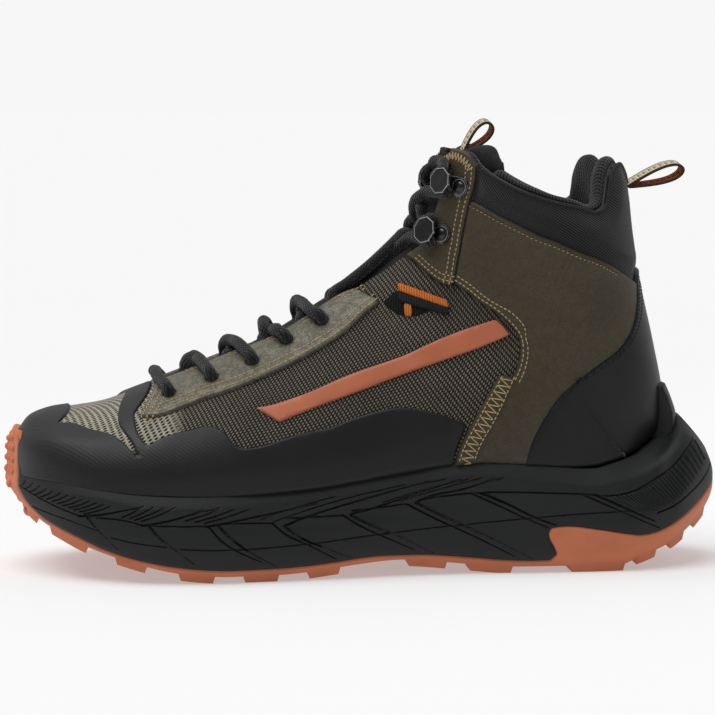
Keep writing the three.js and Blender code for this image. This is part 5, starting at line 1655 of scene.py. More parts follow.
class BOOT_OT_overlays(bpy.types.Operator):
    """Makes the cut sheets sewn on the upper: film, leather, band, collar textile and tapes"""
    bl_idname = "boot.overlays"
    bl_label = "Overlays"

    def execute(self, context):
        wrap = sheet_over("toe_wrap_film", on_upper(TOE_WRAP), FILM, "Toe film",
                          holes=[on_upper(TOE_WINDOW)], at_range=(0, 11), throat=True, edge=0.8)
        place_on_root(wrap, "film", "toe_wrap")
        # The eyestay wears the lighter copy of the olive leather, painted light where it faces up.
        stay = sheet_over("eyestay_leather", on_upper(EYESTAY), LEATHER, "Eyestay leather",
                          at_range=(3, 12), throat=True, eyelets=True, edge=0.5)
        place_on_root(stay, "olive_leather", "eyestay")
        quarters = both_sides("quarter_leather", on_upper(QUARTER), LEATHER, "Olive leather",
                              collar=True)
        place_on_root(quarters, "olive_leather", "quarter_outer", "quarter_inner")
        panels = both_sides("hook_panel_leather", on_upper(HOOK_PANEL), LEATHER, "Olive leather",
                            base=LAP, throat=True, collar=True)
        place_on_root(panels, "olive_leather", "hook_panel_outer", "hook_panel_inner")
        strips = both_sides("seam_strip_leather", on_upper(SEAM_STRIP), LEATHER - 0.1,
                            "Olive leather", base=LAP)
        place_on_root(strips, "olive_leather", "seam_strip_outer", "seam_strip_inner")
        counter = sheet_over("heel_counter_leather", on_upper(HEEL_COUNTER), LEATHER,
                             "Black counter", base=LAP, at_range=(8, 20))
        place_on_root(counter, "black_leather", "heel_counter")
        band = both_sides("trim_band_film", on_upper(TRIM_BAND), FILM, "Trim film", edge=0.6)
        place_on_root(band, "trim", "trim_band_outer", "trim_band_inner")
        collar = sheet_over("collar_textile", on_upper(COLLAR_TEXTILE), 0.2, "Collar twill",
                            base=0.1, collar=True, puff=size_mm("collar_puff"), edge=0.6,
                            at_range=(12, LAST_SECTION))
        place_on_root(collar, "lining")
        return {"FINISHED"}


class BOOT_OT_guard(bpy.types.Operator):
    """Makes the lace guard's black and orange tapes with the small tab between them"""
    bl_idname = "boot.guard"
    bl_label = "Lace guard"

    def execute(self, context):
        black = both_sides("guard_black", on_upper(BLACK_TAPE), 1.0, "Black tape", edge=0.4,
                           smooth_corners=False)
        orange = both_sides("guard_orange", on_upper(ORANGE_TAPE), 1.2, "Orange tape", edge=0.4,
                            smooth_corners=False)
        tab = both_sides("guard_tab", on_upper(TAPE_TAB), 0.5, "Orange tape", edge=0.3,
                         smooth_corners=False)
        # A near-black sheet in the guard's slot: painted shade.
        slot = both_sides("guard_slot", on_upper(GUARD_SLOT), 0.1, "Slot cloth", edge=0.3, base=0.1)
        guard = join([orange, black, tab, slot], "lace_guard")
        place_on_root(guard, "tape", "webbing_outer", "webbing_inner")
        return {"FINISHED"}


PANEL_TOP_SEAM = [[0.346, 0.976], [0.337, 0.990], [0.325, 0.980], [0.315, 0.950]]
STRIP_SEAM = [[0.336, 0.050], [0.3325, 0.102], [0.2965, 0.239], [0.269, 0.338]]


class BOOT_OT_sewing(bpy.types.Operator):
    """Sews every row of stitches that shows, in tan and in black thread"""
    bl_idname = "boot.sewing"
    bl_label = "Stitches"

    def throat_rows(self, thread, lift):
        """Two rows along the eyestay's edge at the throat, broken where the lace passes."""
        levels = [float(on_side(along_foot(x), up_shaft(z))[0]) for x, z in EYELETS]
        runs = [(a + 0.34, b - 0.16) for a, b in zip(levels, levels[1:] + [levels[-1] + 1.3])]
        for start, end in runs:
            at = np.linspace(start, end, 12)
            for inset in (1.3, 3.1):
                for inner in (False, True):
                    turn = turn_beside(at, throat_half(at) + inset, inner)
                    thread.run(at, turn, lift, None, 1.5, 0.0)

    def execute(self, context):
        top = OVERLAY + 0.05
        lap = LAP + LEATHER + 0.05
        tan, black = Sewing(), Sewing()
        for inset in (1.3, 3.2):
            tan.row(edge_run(EYESTAY, 1, 10, inset), top, length=1.5)
        for inset in (1.3, 3.0, 4.7):
            tan.row(edge_run(EYESTAY, 16, 17, inset), top, slant=0.4, length=1.5)
        self.throat_rows(tan, top)
        for inset in (1.8, 3.9):
            tan.row(edge_run(HOOK_PANEL, 2, 7, inset), lap)
            tan.row(edge_run(HOOK_PANEL, 7, 10, inset), lap)
        tan.zigzag(smooth_line(on_upper(PANEL_TOP_SEAM), False), lap, 1.7, 0.9)
        for inset in (1.5, 3.4):
            tan.row(edge_run(QUARTER, 0, 8, inset), top)
        black.row(edge_run(QUARTER, 25, 33, 1.9), top, length=0.8, slant=0.8)
        tan.row(edge_run(QUARTER, 25, 33, 2.3), top - 0.15, length=0.9, slant=0.8)
        for inset in (1.6, 3.4):
            black.row(edge_run(HEEL_COUNTER, 1, 10, inset), lap)
        tan.zigzag(smooth_line(on_upper(STRIP_SEAM), False), lap - 0.1, 2.6, 1.5)
        for start, end in ((0, 3), (4, 7)):
            tan.row(edge_run(SEAM_STRIP, start, end, 1.4), lap - 0.1)
        for inner in (False, True):
            at, turn = side_places(edge_run(HOOK_PANEL, 2, 7, -0.5), inner)
            line = even_points(off_surface(at, turn, OVERLAY - 0.1 - crease_depth(surface(at, turn))))
            pipe = sweep(line, 0.55, 8, "panel_piping", "Black tape")
            place_on_root(pipe, "black_leather")
        width = size_mm("thread_width")
        place_on_root(tan.make("tan_stitches", width, "Tan thread"), "olive_leather")
        place_on_root(black.make("black_stitches", width, "Black thread"), "black_leather")
        return {"FINISHED"}


def even_points(points, step=1.2):
    index, _ = even_line(points, step)
    return read_line(points, index)


def collar_run(front_share=0.303, count=150):
    """The collar line as places on the form, from the outer front round the heel to the inner."""
    front = along_foot(front_share)
    turns = np.linspace(0, 0.9, 400)

    def rim(turn):
        low, high = np.full(len(turn), 13.0), np.full(len(turn), float(LAST_SECTION))
        for _ in range(22):
            middle = (low + high) / 2
            over = is_within(COLLAR_EDGE, surface(middle, turn)[:, [0, 2]])
            low, high = np.where(over, low, middle), np.where(over, middle, high)
        return low

    levels = rim(turns)
    points = surface(levels, turns)
    reached = np.flatnonzero(points[:, 0] > front)
    last = int(reached[0]) if len(reached) else len(turns) - 1
    lengths = np.concatenate([[0], np.cumsum(np.linalg.norm(np.diff(points[:last], axis=0), axis=1))])
    places = np.linspace(0, lengths[-1], count)
    turn = np.interp(places, lengths, turns[:last])
    at = np.interp(places, lengths, levels[:last])
    kernel = np.ones(5) / 5
    padded = np.concatenate([at[2:0:-1], at, [at[-1]] * 2])
    at = np.convolve(padded, kernel, mode="valid")
    return (np.concatenate([at[::-1], at[1:]]), np.concatenate([turn[::-1], 2 - turn[1:]]),
            np.concatenate([-places[::-1], places[1:]]))


class BOOT_OT_collar(bpy.types.Operator):
    """Makes the padded collar lining with its piping along the rim"""
    bl_idname = "boot.collar"
    bl_label = "Collar"
    # The pad's section: how far each corner is below the rim, and its offset from the form.
    SECTION = [(30, -3.0), (24, -2.9), (17, -2.9), (10, -2.9), (4, -2.9), (0.6, -2.7), (-1.6, -2.6),
               (-2.9, -3.9), (-3.2, -5.6), (-2.6, -7.4), (-1.0, -9.0), (2, -10.2), (6, -11.0),
               (11, -11.2), (16, -10.9), (21, -10.2), (25, -9.2), (29, -7.6), (32, -5.4),
               (32.5, -4.0)]

    def execute(self, context):
        at, turn, run = collar_run()
        rate = np.linalg.norm(surface(at - 0.2, turn) - surface(at, turn), axis=1) / 0.2
        section = smooth_line(np.array(self.SECTION), True)[::2]
        around = np.concatenate([[0], np.cumsum(np.linalg.norm(np.diff(section, axis=0), axis=1))])
        ends = np.clip(np.minimum(run - run[0], run[-1] - run) / 9.0, 0, 1)
        ends = np.sqrt(1 - (1 - ends) ** 2)
        rows = []
        middle = np.array([12.0, -5.5])
        for (down, offset) in section:
            down = middle[0] + (down - middle[0]) * np.maximum(ends, 0.15)
            offset = middle[1] + (offset - middle[1]) * ends
            rows.append(off_surface(at - down / rate, turn, offset))
        points = np.stack(rows, 1)
        count, sides = points.shape[:2]
        faces = []
        for i in range(count - 1):
            for k in range(sides):
                m = (k + 1) % sides
                faces.append([i * sides + k, i * sides + m, (i + 1) * sides + m, (i + 1) * sides + k])
        cloth = np.stack(np.broadcast_arrays(around[None, :], run[:, None]), -1).reshape(-1, 2)
        pad = make_object("collar_lining", points.reshape(-1, 3), faces, {"cloth": cloth}, merge=0.05)
        edit_all(pad, "normals_make_consistent")
        dress(pad, "Lining knit")
        held = np.zeros(len(pad.data.vertices))
        coordinates = np.array([v.co[:] for v in pad.data.vertices]) / MM
        kept = np.array([s for s in range(sides) if section[s][1] > -3.4 and section[s][0] > 0])
        anchors = points[:, kept].reshape(-1, 3)
        for start in range(0, len(coordinates), 500):
            part = coordinates[start:start + 500]
            gap = np.linalg.norm(part[:, None] - anchors[None], axis=-1).min(axis=1)
            held[start:start + 500] = gap < 0.2
        swell(pad, held, 3.0, 1.4)
        place_on_root(pad, "lining", "collar_pad")

        radius = size_mm("piping") / 2
        rim = off_surface(at - 0.2 / rate, turn, np.full(len(at), 0.3))
        place_on_root(sweep(rim, radius, 10, "collar_piping", "Piping cord"), "lining")
        return {"FINISHED"}


class BOOT_OT_tongue(bpy.types.Operator):
    """Makes the padded tongue under the lace with its thick top"""
    bl_idname = "boot.tongue"
    bl_label = "Tongue"

    def execute(self, context):
        along, across = 150, 56
        v = np.sin(np.linspace(-np.pi / 2, np.pi / 2, across + 1))
        u = np.linspace(0, 1, along + 1)
        wings = TONGUE_TOP + 1.4 * ramp(np.abs(v), 0.1, 0.8) - 0.7 * ramp(np.abs(v), 0.84, 1.0)
        at = TONGUE_FROM + u[:, None] * (wings[None, :] - TONGUE_FROM)
        half = TONGUE_HALF_WIDTH * np.minimum(1, THROAT_START + TONGUE_WIDENING * (at - TONGUE_FROM))
        half = half + 7.5 * ramp(at, 15.0, 17.6)
        aside = np.abs(v)[None, :] * half
        turn = np.where(v[None, :] < 0, turn_beside(at, aside, True), turn_beside(at, aside, False))
        under = -(UPPER_WALL + CLEARANCE + 0.15)
        open_half = throat_half(at)
        raised = under + 0.9 * ramp(open_half - aside, 0.2, 4.0) * ramp(at, THROAT_FROM, THROAT_FROM + 0.6)
        thick = TONGUE_THICKNESS + (TONGUE_PADDING - TONGUE_THICKNESS) * ramp(at, 14.0, 16.5)
        edge = np.sqrt(np.clip(1 - np.abs(v)[None, :] ** 5, 0, 1))
        top = np.sqrt(np.clip(1 - np.clip((u[:, None] - 0.955) / 0.045, 0, 1) ** 2, 0, 1))
        end = np.minimum(top, ramp(u[:, None], -0.001, 0.03))
        body = thick * edge * end
        outer_face = raised - (thick / 2) * (1 - edge * end)
        channels = 0.8 * (hill(aside, 9.0, 1.6) + hill(at, 16.2, 0.12)) * ramp(at, 14.2, 15.2)
        outer_face = outer_face - channels
        inner_face = outer_face - body
        faces, points = [], []
        for face in (outer_face, inner_face):
            points.append(off_surface(at, turn, face).reshape(-1, 3))
        n = across + 1
        shift = len(points[0])
        for i in range(along):
            for k in range(across):
                a, b, c, d = i * n + k, (i + 1) * n + k, (i + 1) * n + k + 1, i * n + k + 1
                faces.append([a, d, c, b])
                faces.append([shift + a, shift + b, shift + c, shift + d])
        lengths = FORM.read_cloth(at.ravel(), turn.ravel())
        cloth = np.vstack([lengths, lengths])
        piece = make_object("tongue_pad", np.vstack(points), faces, {"cloth": cloth}, merge=0.05)
        edit_all(piece, "normals_make_consistent")
        dress(piece, "Tongue mesh")
        place_on_root(piece, "mesh", "tongue")
        return {"FINISHED"}


class BOOT_OT_insole(bpy.types.Operator):
    """Makes the insole with its raised rim inside the boot"""
    bl_idname = "boot.insole"
    bl_label = "Insole"

    def execute(self, context):
        bed = np.array(FOOT_BED)
        at = np.linspace(0.45, 12.85, 130)
        rows = upper_section(at)
        x = rows[:, 0]
        level = STACK * np.interp((x + HEEL_TO_ORIGIN) / UPPER_LENGTH, bed[:, 0], bed[:, 1])
        inset = UPPER_WALL + 1.2
        out = np.maximum(rows[:, 4] * 0.45 + rows[:, 5] * 0.55 - inset, rows[:, 9] + 0.5)
        inn = np.maximum(rows[:, 6] * 0.45 + rows[:, 7] * 0.55 - inset, 0.5 - rows[:, 9])
        across = np.linspace(-1, 1, 41)
        y = np.where(across[None, :] > 0, across[None, :] * out[:, None], across[None, :] * inn[:, None])
        cup = 2.2 * np.abs(across[None, :]) ** 6
        top = level[:, None] + CLEARANCE + INSOLE_THICKNESS + cup
        rolled = top - (INSOLE_THICKNESS + cup) * (np.abs(across)[None, :] >= 1)
        points = np.stack([np.broadcast_to(x[:, None], y.shape), y, rolled], -1)
        patch = Patch(np.arange(len(at)), np.arange(len(across)))
        cloth = np.stack([points[..., 0], points[..., 1]], -1).reshape(-1, 2)
        faces = [face[::-1] for face in patch.faces]
        piece = make_object("insole_board", points.reshape(-1, 3), faces, {"cloth": cloth}, merge=0)
        if piece.data.polygons[len(piece.data.polygons) // 2].normal.z < 0:
            edit_all(piece, "flip_normals")
        dress(piece, "Lining knit")
        place_on_root(piece, "lining", "insole")
        return {"FINISHED"}


# The sole. Along its grid u counts the table's rows from the heel, and v goes from 0 at the outer
# rim over 1 at the outer base and 2 at the inner base to 3 at the inner rim.
SOLE_ALONG = 350
SIDE_ROWS = 54
BOTTOM_ROWS = 44
LAST_ROW = len(SOLE_SECTIONS) - 1
TAB_ROW = 4.0


# The foam's rim at the heel, under the tab that stands on it: rimX, rimZ and lip of four rows.
HEEL_RIM = {2: (-0.037, 1.76, 0.150), 3: (-0.020, 1.90, 0.240), 4: (-0.004, 1.84, 0.245),
            5: (0.016, 1.69, 0.225)}


def sole_rows():
    rows = []
    for number, row in enumerate(SOLE_SECTIONS):
        if number in HEEL_RIM:
            rim_x, rim_z, lip = HEEL_RIM[number]
            row = [row[0], rim_x, row[2], rim_z, *row[4:7], lip]
        lengths = [along_foot(row[0]), along_foot(row[1]), row[2] * STACK, row[3] * STACK]
        rows.append(lengths + [value * BALL_WIDTH for value in row[4:]])
    return rows


sole_section = curve_through(sole_rows())
sole_side = curve_through(SOLE_PROFILE)


def profile_shares(v_side):
    """How much of the tuck and of the lip is taken at a share of the side's height."""
    levels = np.array(SOLE_PROFILE)
    shares = sole_side(np.interp(v_side, levels[:, 0], np.arange(len(levels))))
    return np.clip(shares[..., 1], 0, 1), np.clip(shares[..., 2], 0, 1)


def sole_point(place):
    u, v = place.T
    base_x, rim_x, base_z, rim_z, wide_out, wide_in, tuck, lip = np.moveaxis(sole_section(u), -1, 0)
    outer, inner = v <= 1, v >= 2
    up = np.clip(np.where(outer, 1 - v, np.where(inner, v - 2, 0.0)), 0, 1)
    tucked, lipped = profile_shares(up)
    out = wide_out - tucked * tuck - lipped * lip
    inn = -(wide_in - tucked * tuck - lipped * lip)
    y = np.where(outer, out, np.where(inner, inn, out + (inn - out) * np.clip(v - 1, 0, 1)))
    return np.stack([base_x + (rim_x - base_x) * up, y, base_z + (rim_z - base_z) * up], -1)


def sole_outward(place):
    u, v = place.T
    step = 0.01
    start = np.where(v <= 1, 0, np.where(v >= 2, 2, 1))
    low_v, high_v = np.clip(v - step, start, start + 1), np.clip(v + step, start, start + 1)
    inside_u = np.clip(u, 0.15, LAST_ROW - 0.15)

    def between(a, b):
        return sole_point(np.stack(b, -1)) - sole_point(np.stack(a, -1))

    normals = unit(np.cross(between([inside_u - 0.05, v], [inside_u + 0.05, v]),
                            between([inside_u, low_v], [inside_u, high_v])))
    ends = (u - LAST_ROW / 2) / (LAST_ROW / 2)
    tip = np.stack([np.sign(ends), 0 * u, 0 * u], -1)
    return unit(normals + tip * ramp(np.abs(ends), 0.985, 1.0)[:, None] * 4)


# Grooves of the sole's side in mm of the side view. Those of one group don't meet each other.
UPPER_ARMS = [
    [(224, 27.7), (216, 28.6), (207, 30.6), (198, 32.6)],
    [(198.4, 24.7), (188, 26.7), (178.5, 29.4), (166, 32.2)],
    [(172, 24.3), (158, 26.7), (146, 28.9), (126, 32.4)], [(140, 23.6), (129, 27.5), (106, 33.3), (77, 40.4)],
    [(112, 27.2), (99.6, 30.2), (89.6, 33.0), (64.5, 40.8)], [(84, 31.2), (77, 33.9), (62, 36.6), (50, 40.9)],
]
LOWER_ARMS = [
    [(221, 27.6), (217.5, 23.6), (214.9, 21.1), (208.5, 14.6)],
    [(195.6, 24.2), (191.6, 19.9), (186.4, 15.8), (177.5, 8.8)],
    [(167, 24.0), (161.9, 18.9), (153.1, 12.5), (143.4, 6.9)],
    [(139.8, 23.6), (133.6, 18.9), (122, 13.6), (111, 8.8)],
    [(111.8, 27.2), (104, 23.1), (90.5, 17.2), (76, 9.6)],
    [(83.6, 31.2), (72.5, 25.7), (54.5, 17.2), (34, 6.6)],
    [(55.5, 34.5), (43, 29.1), (35.1, 25.0), (20.7, 19.4)], [(6.5, 33.0), (-6.9, 26.9), (-19.4, 21.1)],
]
TWIN_ARMS = [
    [(171.6, 24.5), (166.7, 18.6), (157.5, 12.6), (149.6, 8.9)],
    [(144.8, 24.8), (139.6, 20.2), (130.6, 15.7), (117.6, 8.6)],
    [(115, 27.2), (108.4, 22.8), (96.4, 16.9), (84.2, 11.2)],
    [(87.6, 30.8), (78.6, 25.9), (58.6, 16.3), (41, 7.2)],
    [(60, 34.6), (50, 30.0), (38, 24.2), (24, 18.2)], [(12, 33.2), (-3.3, 26.3), (-21.7, 18.0)],
]
MIDLINES = [
    [(244, 30.1), (236.9, 27.8), (230.4, 26.1), (216.8, 21.9)], [(211.1, 19.5), (201.4, 17.5), (189, 15.9)],
    [(183.1, 15.2), (170.6, 14.5), (157.5, 14.6), (131, 15.7), (99.6, 18.5), (68, 21.1), (35.1, 23.7),
     (14, 25.2),
     (-9, 26.0)],
]
FOOT_LINES = [
    [(248, 37.6), (241, 34.6), (232, 30.6), (224, 27.9)], [(217, 27.4), (205.8, 26.7), (199, 24.9)],
    [(194.2, 24.7), (183.7, 24.4), (173, 24.5)], [(166, 25.4), (154, 25.3), (145, 25.0)],
    [(138, 26.8), (125, 26.9), (115.4, 27.1)], [(111, 28.9), (99, 29.7), (88.4, 30.9)],
    [(82, 32.4), (68, 34.0), (50, 34.9), (27.5, 34.2), (12, 33.6), (1, 32.6), (-8.9, 33.9), (-18.5, 38.0),
     (-27.5, 43.0), (-35.4, 49.9), (-41, 54.6)],
]
RIB_TOP = [(-1.1, 32.2), (-8.6, 33.1), (-12.7, 34.2), (-16.8, 35.5), (-22.3, 39.2), (-26.5, 42.2),
           (-33.4, 47.0), (-40.9, 53.4)]
RIB_FOOT = [(-11.5, 27.4), (-15.2, 27.0), (-21.9, 26.9), (-26, 28.1), (-29.5, 30.1), (-33.8, 33.5),
            (-39.6, 38.4), (-46.0, 44.6)]
RIB_FENCE = [(-20.5, 24.8), (-27.7, 27.3), (-36.5, 32.3), (-46.1, 38.6), (-50.6, 43.4)]
HEEL_RIBS = 27
RIB_RADIUS = 0.5
# How dark the field between the heel's ribs is painted: painted shade.
RIB_SHADE = 0.85
# Rows of slanting strokes: the first one's two ends, the last one's two ends, and their number.
STROKE_ROWS = [
    [(244.4, 39.6), (246.2, 37.0), (211, 32.6), (221.6, 28.9), 13],
    [(198.5, 32.6), (206.8, 28.0), (185, 32.3), (199, 26.6), 4],
    [(173.5, 31.6), (185.5, 27.2), (154.5, 31.2), (173, 25.8), 4],
]
LONG_STROKES = [
    [(150, 26.6), (140.7, 29.7), (118.4, 35.0)], [(144.6, 25.6), (129.1, 30.2), (113.1, 34.2), (88, 38.9)],
    [(126, 28.6), (104.1, 34.2), (86, 38.2), (70.5, 40.8)], [(97.8, 31.8), (81.6, 36.2), (59.9, 40.9)],
    [(90, 32.0), (75.3, 36.2), (55.2, 41.0)], [(66, 35.9), (57, 38.2), (46, 40.9)],
]


def stroke_groups():
    """Every groove as its line and its width at either end, in groups that are cut in turn."""
    wide = size_mm("groove")

    def group(lines, first, last):
        return [(smooth_line(line, False)[::2] if len(line) > 2 else np.array(line), first * wide,
                 last * wide) for line in lines]

    fans = []
    for a, b, c, d, number in STROKE_ROWS:
        for share in np.linspace(0, 1, number):
            start = np.array(a) * (1 - share) + np.array(c) * share
            end = np.array(b) * (1 - share) + np.array(d) * share
            fans.append([start, (start + end) / 2 + [0.0, -0.35], end])
    return [group(UPPER_ARMS, 0.85, 0.35), group(LOWER_ARMS, 0.95, 0.4), group(TWIN_ARMS, 0.7, 0.3),
            group(MIDLINES, 0.42, 0.42), group(FOOT_LINES, 0.6, 0.5), group(fans, 0.4, 0.6),
            group([RIB_FENCE], 0.6, 0.6), group(LONG_STROKES, 0.42, 0.42)]


def grooves_at(strokes, points):
    """For points of the sole's side: how far inside the nearest groove's edge they are, how deep
    the groove is there, and how far they are from its middle, with a sign for the side."""
    flat = points[:, [0, 2]]
    edge, deep = np.full(len(points), -50.0), np.zeros(len(points))
    side = np.full(len(points), 50.0)
    for line, first, last in strokes:
        low, high = line.min(axis=0) - 4, line.max(axis=0) + 4
        near = np.flatnonzero(((flat > low) & (flat < high)).all(axis=1))
        if not len(near):
            continue
        spots = flat[near]
        legs = np.linalg.norm(np.diff(line, axis=0), axis=1)
        run = np.concatenate([[0], np.cumsum(legs)]) / legs.sum()
        distance, place, sign = np.full(len(near), np.inf), np.zeros(len(near)), np.ones(len(near))
        for k in range(len(line) - 1):
            leg = line[k + 1] - line[k]
            t = np.clip((spots - line[k]) @ leg / max(leg @ leg, 1e-9), 0, 1)
            gap = spots - line[k] - t[:, None] * leg
            closer = np.linalg.norm(gap, axis=1) < distance
            distance[closer] = np.linalg.norm(gap[closer], axis=1)
            place[closer] = (run[k] + (run[k + 1] - run[k]) * t)[closer]
            sign[closer] = np.sign(leg[0] * gap[closer, 1] - leg[1] * gap[closer, 0])
        half = (first + (last - first) * place) / 2
        better = half - distance > edge[near]
        chosen = near[better]
        edge[chosen] = (half - distance)[better]
        side[chosen] = (distance * sign)[better]
        deep[chosen] = (half * np.clip(1.5 - 1.5 * distance / half, 0, 1))[better]
    return edge, deep, side


def inside_lugs(points):
    """How far points are inside the tread's blocks in plan, in mm."""
    x, y = points[:, 0], points[:, 1]
    best = np.full(len(points), -50.0)
    skew = LUG_SKEW * UPPER_LENGTH / BALL_WIDTH
    for values in LUG_ROWS:
        row = dict(zip(LUG_COLUMNS, values))
        start, end = along_foot(row["from"]), along_foot(row["to"])
        middle, edge = row["middle"] * BALL_WIDTH, row["edge"] * BALL_WIDTH
        lean = skew * (np.abs(y) - edge) * np.sign(y)
        side = np.minimum(np.minimum(x - start - lean, end + lean - x), np.abs(y) - edge)
        best = np.maximum(best, side)
        if middle > 0:
            best = np.maximum(best, np.minimum(np.minimum(x - start, end - x), middle - np.abs(y)))
    return best


# Along the foot in mm: the height of the rounded band under the rim and how far the rim leans in.
RIM_BAND = [(-60, 6, 0.8), (-42, 8, 2.0), (-33, 9, 3.2), (-24, 10, 3.4), (0, 8, 3.0), (60, 6, 2.4),
            (150, 5, 2.2), (215, 5, 1.8), (235, 5, 1.0), (260, 4, 0.6)]
# The tab behind the heel's rim in the side view, and its extra thickness at heights.
HEEL_TAB = [(-60, 76.6), (-33, 76.8), (-27.2, 78.0), (-25.6, 76.4), (-26.2, 69), (-26.4, 63), (-24.8, 56),
            (-22.5, 50), (-60, 50)]
TAB_THICKNESS = ([50.0, 58.0, 65.0, 72.0, 78.0], [6.6, 6.2, 4.8, 2.6, 0.6])
TOE_SWELL = 2.0
TIP_ROW = 22.4
FLOOR_GAP = 0.02
# Rows of nubs and, below, of blocks at the toe's front: height, number, pitch, width, thickness.
NUB_ROWS = [(56.0, 4, 5.2, 1.5, 1.5), (51.6, 5, 5.2, 1.6, 1.6), (47.0, 5, 5.4, 1.7, 1.6),
            (42.0, 5, 5.4, 1.8, 1.7), (36.5, 4, 6.0, 2.2, 2.0), (30.5, 3, 9.0, 3.6, 2.4),
            (24.5, 3, 9.0, 3.6, 2.4)]
NUB_MIDDLE = -9.0


class BOOT_OT_sole(bpy.types.Operator):
    """Makes the foam midsole with its grooves and the rubber outsole with its lugs"""
    bl_idname = "boot.sole"
    bl_label = "Sole"

    def grid(self):
        fine = np.linspace(0, LAST_ROW, 4000)
        middle = sole_point(np.stack([fine, np.full(len(fine), 0.5)], -1))
        lengths = np.concatenate([[0], np.cumsum(np.linalg.norm(np.diff(middle, axis=0), axis=1))])
        u = np.interp(np.linspace(0, lengths[-1], SOLE_ALONG), lengths, fine)
        side = np.linspace(0, 1, SIDE_ROWS + 1)
        return Patch(u, np.concatenate([side, 1 + np.linspace(0, 1, BOTTOM_ROWS + 1)[1:], 2 + side[1:]]))

    def shaped(self, place):
        """The sole's surface with its rounded rim, its tab and its swelling panels."""
        points, normals = sole_point(place), sole_outward(place)
        u, v = place.T
        on_a_side = (v < 1) | (v > 2)
        band = np.array(RIM_BAND, float)
        height = np.interp(points[:, 0], band[:, 0], band[:, 1])
        lean = np.interp(points[:, 0], band[:, 0], band[:, 2])
        front = ramp(points[:, 0], 195, 235)
        below = sole_section(u)[:, 3] * (1 - front) + TOE_RIM * front - points[:, 2]
        offset = -lean * 1.15 * np.clip(1 - below / height, 0, 1) ** 1.15
        offset += TOE_SWELL * front * ramp(points[:, 2], 24, 36)
        in_foam = points[:, 0] < along_foot(0.994)
        offset -= 5.0 * front * in_foam * ramp(points[:, 2], TOE_RIM, TOE_RIM + 1.6)
        return points, normals, (offset + self.panels(points)) * on_a_side, on_a_side

    def panels(self, points):
        """Each panel between two lower arms rises gently towards its front edge."""
        x, z = points[:, 0], points[:, 2]
        total = np.zeros(len(points))
        for line in LOWER_ARMS[:6]:
            line = np.array(line, float)
            behind = np.interp(z, line[::-1, 1], line[::-1, 0]) - x
            on = ramp(z, line[-1, 1] - 2, line[-1, 1] + 5) * (1 - ramp(z, line[0, 1] - 4, line[0, 1] + 1))
            total = np.maximum(total, 0.9 * on * np.clip(1 - behind / 26, 0, 1) * (behind > -0.2))
        return total

    def execute(self, context):
        rubber_line = on_sole(RUBBER_LINE)
        ends = [[rubber_line[-1][0], -60.0], [rubber_line[0][0], -60.0]]
        region = np.vstack([smooth_line(rubber_line, False), ends])
        groups = stroke_groups()
        strokes = [stroke for group in groups for stroke in group]
        patch = self.grid()

        def cut(field, near=None):
            value = field(sole_point(patch.place))
            on_a_side = (patch.place[:, 1] < 1.001) | (patch.place[:, 1] > 1.999)
            patch.cut(value, near=None if near is None else (np.abs(value) < near) & on_a_side)

        cut(lambda points: within(region, points))
        for step in (0.7, -0.7):
            cut(lambda points: within(region, points) - step)
        for group in groups:
            cut(lambda points: grooves_at(group, points)[2], 1.3)
        cut(lambda points: grooves_at(strokes, points)[0], 1.3)
        cut(inside_lugs)
        cut(lambda points: inside_lugs(points) - 0.9)
        points, normals, offset, on_a_side = self.shaped(patch.place)
        rubber = within(region, points)
        v = patch.place[:, 1]
        in_foam = ramp(-rubber, 0.2, 1.2) * on_a_side
        edge, deep, _ = grooves_at(strokes, points)
        groove = np.minimum(1.5 * deep, size_mm("groove_depth")) * in_foam
        seam = 0.5 * np.clip(1 - np.abs(rubber) / 0.7, 0, 1) * on_a_side
        moved = points + normals * (offset - groove - seam)[:, None]
        drop = LUG_DEPTH * np.clip(inside_lugs(points) / 0.9, 0, 1) * ((v >= 1) & (v <= 2))
        moved[:, 2] = np.maximum(moved[:, 2] - drop, FLOOR_GAP)
        # Painted shade: the foam is darker inside its grooves and, below, over the field between the heel's
        # ribs; the seam with the rubber is darker too.
        dark = np.clip(np.maximum(np.clip(edge / 0.15 + 0.3, 0, 1) * in_foam, 1.6 * seam), 0, 1)
        ground = within(np.vstack([RIB_TOP, RIB_FOOT[::-1]]), points)
        dark = np.maximum(dark, RIB_SHADE * np.clip(ground + 1, 0, 1) * in_foam)
        shown = {"rubber": [], "foam": []}
        for face in patch.faces:
            mean = sum(rubber[k] for k in face) / len(face)
            shown["rubber" if mean > 0 else "foam"].append(face)
        foam = self.part("midsole_foam", moved, shown["foam"], dark, "Black foam")
        ledge, toe_ledge = self.lid()
        foam = join([foam, ledge, *self.ribs(moved, v)], "midsole_foam")
        tread = self.part("outsole_rubber", moved, shown["rubber"], dark, "Rust rubber")
        toe = moved[:, 0] > along_foot(0.96)
        nubs = self.nubs(moved[toe], normals[toe])
        tab = sheet_over("heel_tab", HEEL_TAB, 0.9, "Black foam", base=LAP + LEATHER - 0.3,
                         at_range=(12, 18), edge=1.2, thicker=TAB_THICKNESS)
        foam = join([foam, tab], "midsole_foam")
        place_on_root(foam, "foam", "midsole")
        place_on_root(join([tread, toe_ledge, *nubs], "outsole_rubber"), "rubber", "outsole")
        return {"FINISHED"}

    def part(self, name, points, faces, dark, finish):
        used = np.unique(np.array([k for face in faces for k in face]))
        order = np.full(len(points), -1)
        order[used] = np.arange(len(used))
        faces = [[int(order[k]) for k in face] for face in faces]
        piece = make_object(name, points[used], faces, {"groove": dark[used]})
        bpy.ops.object.shade_smooth_by_angle(angle=math.radians(42))
        return dress(piece, finish)

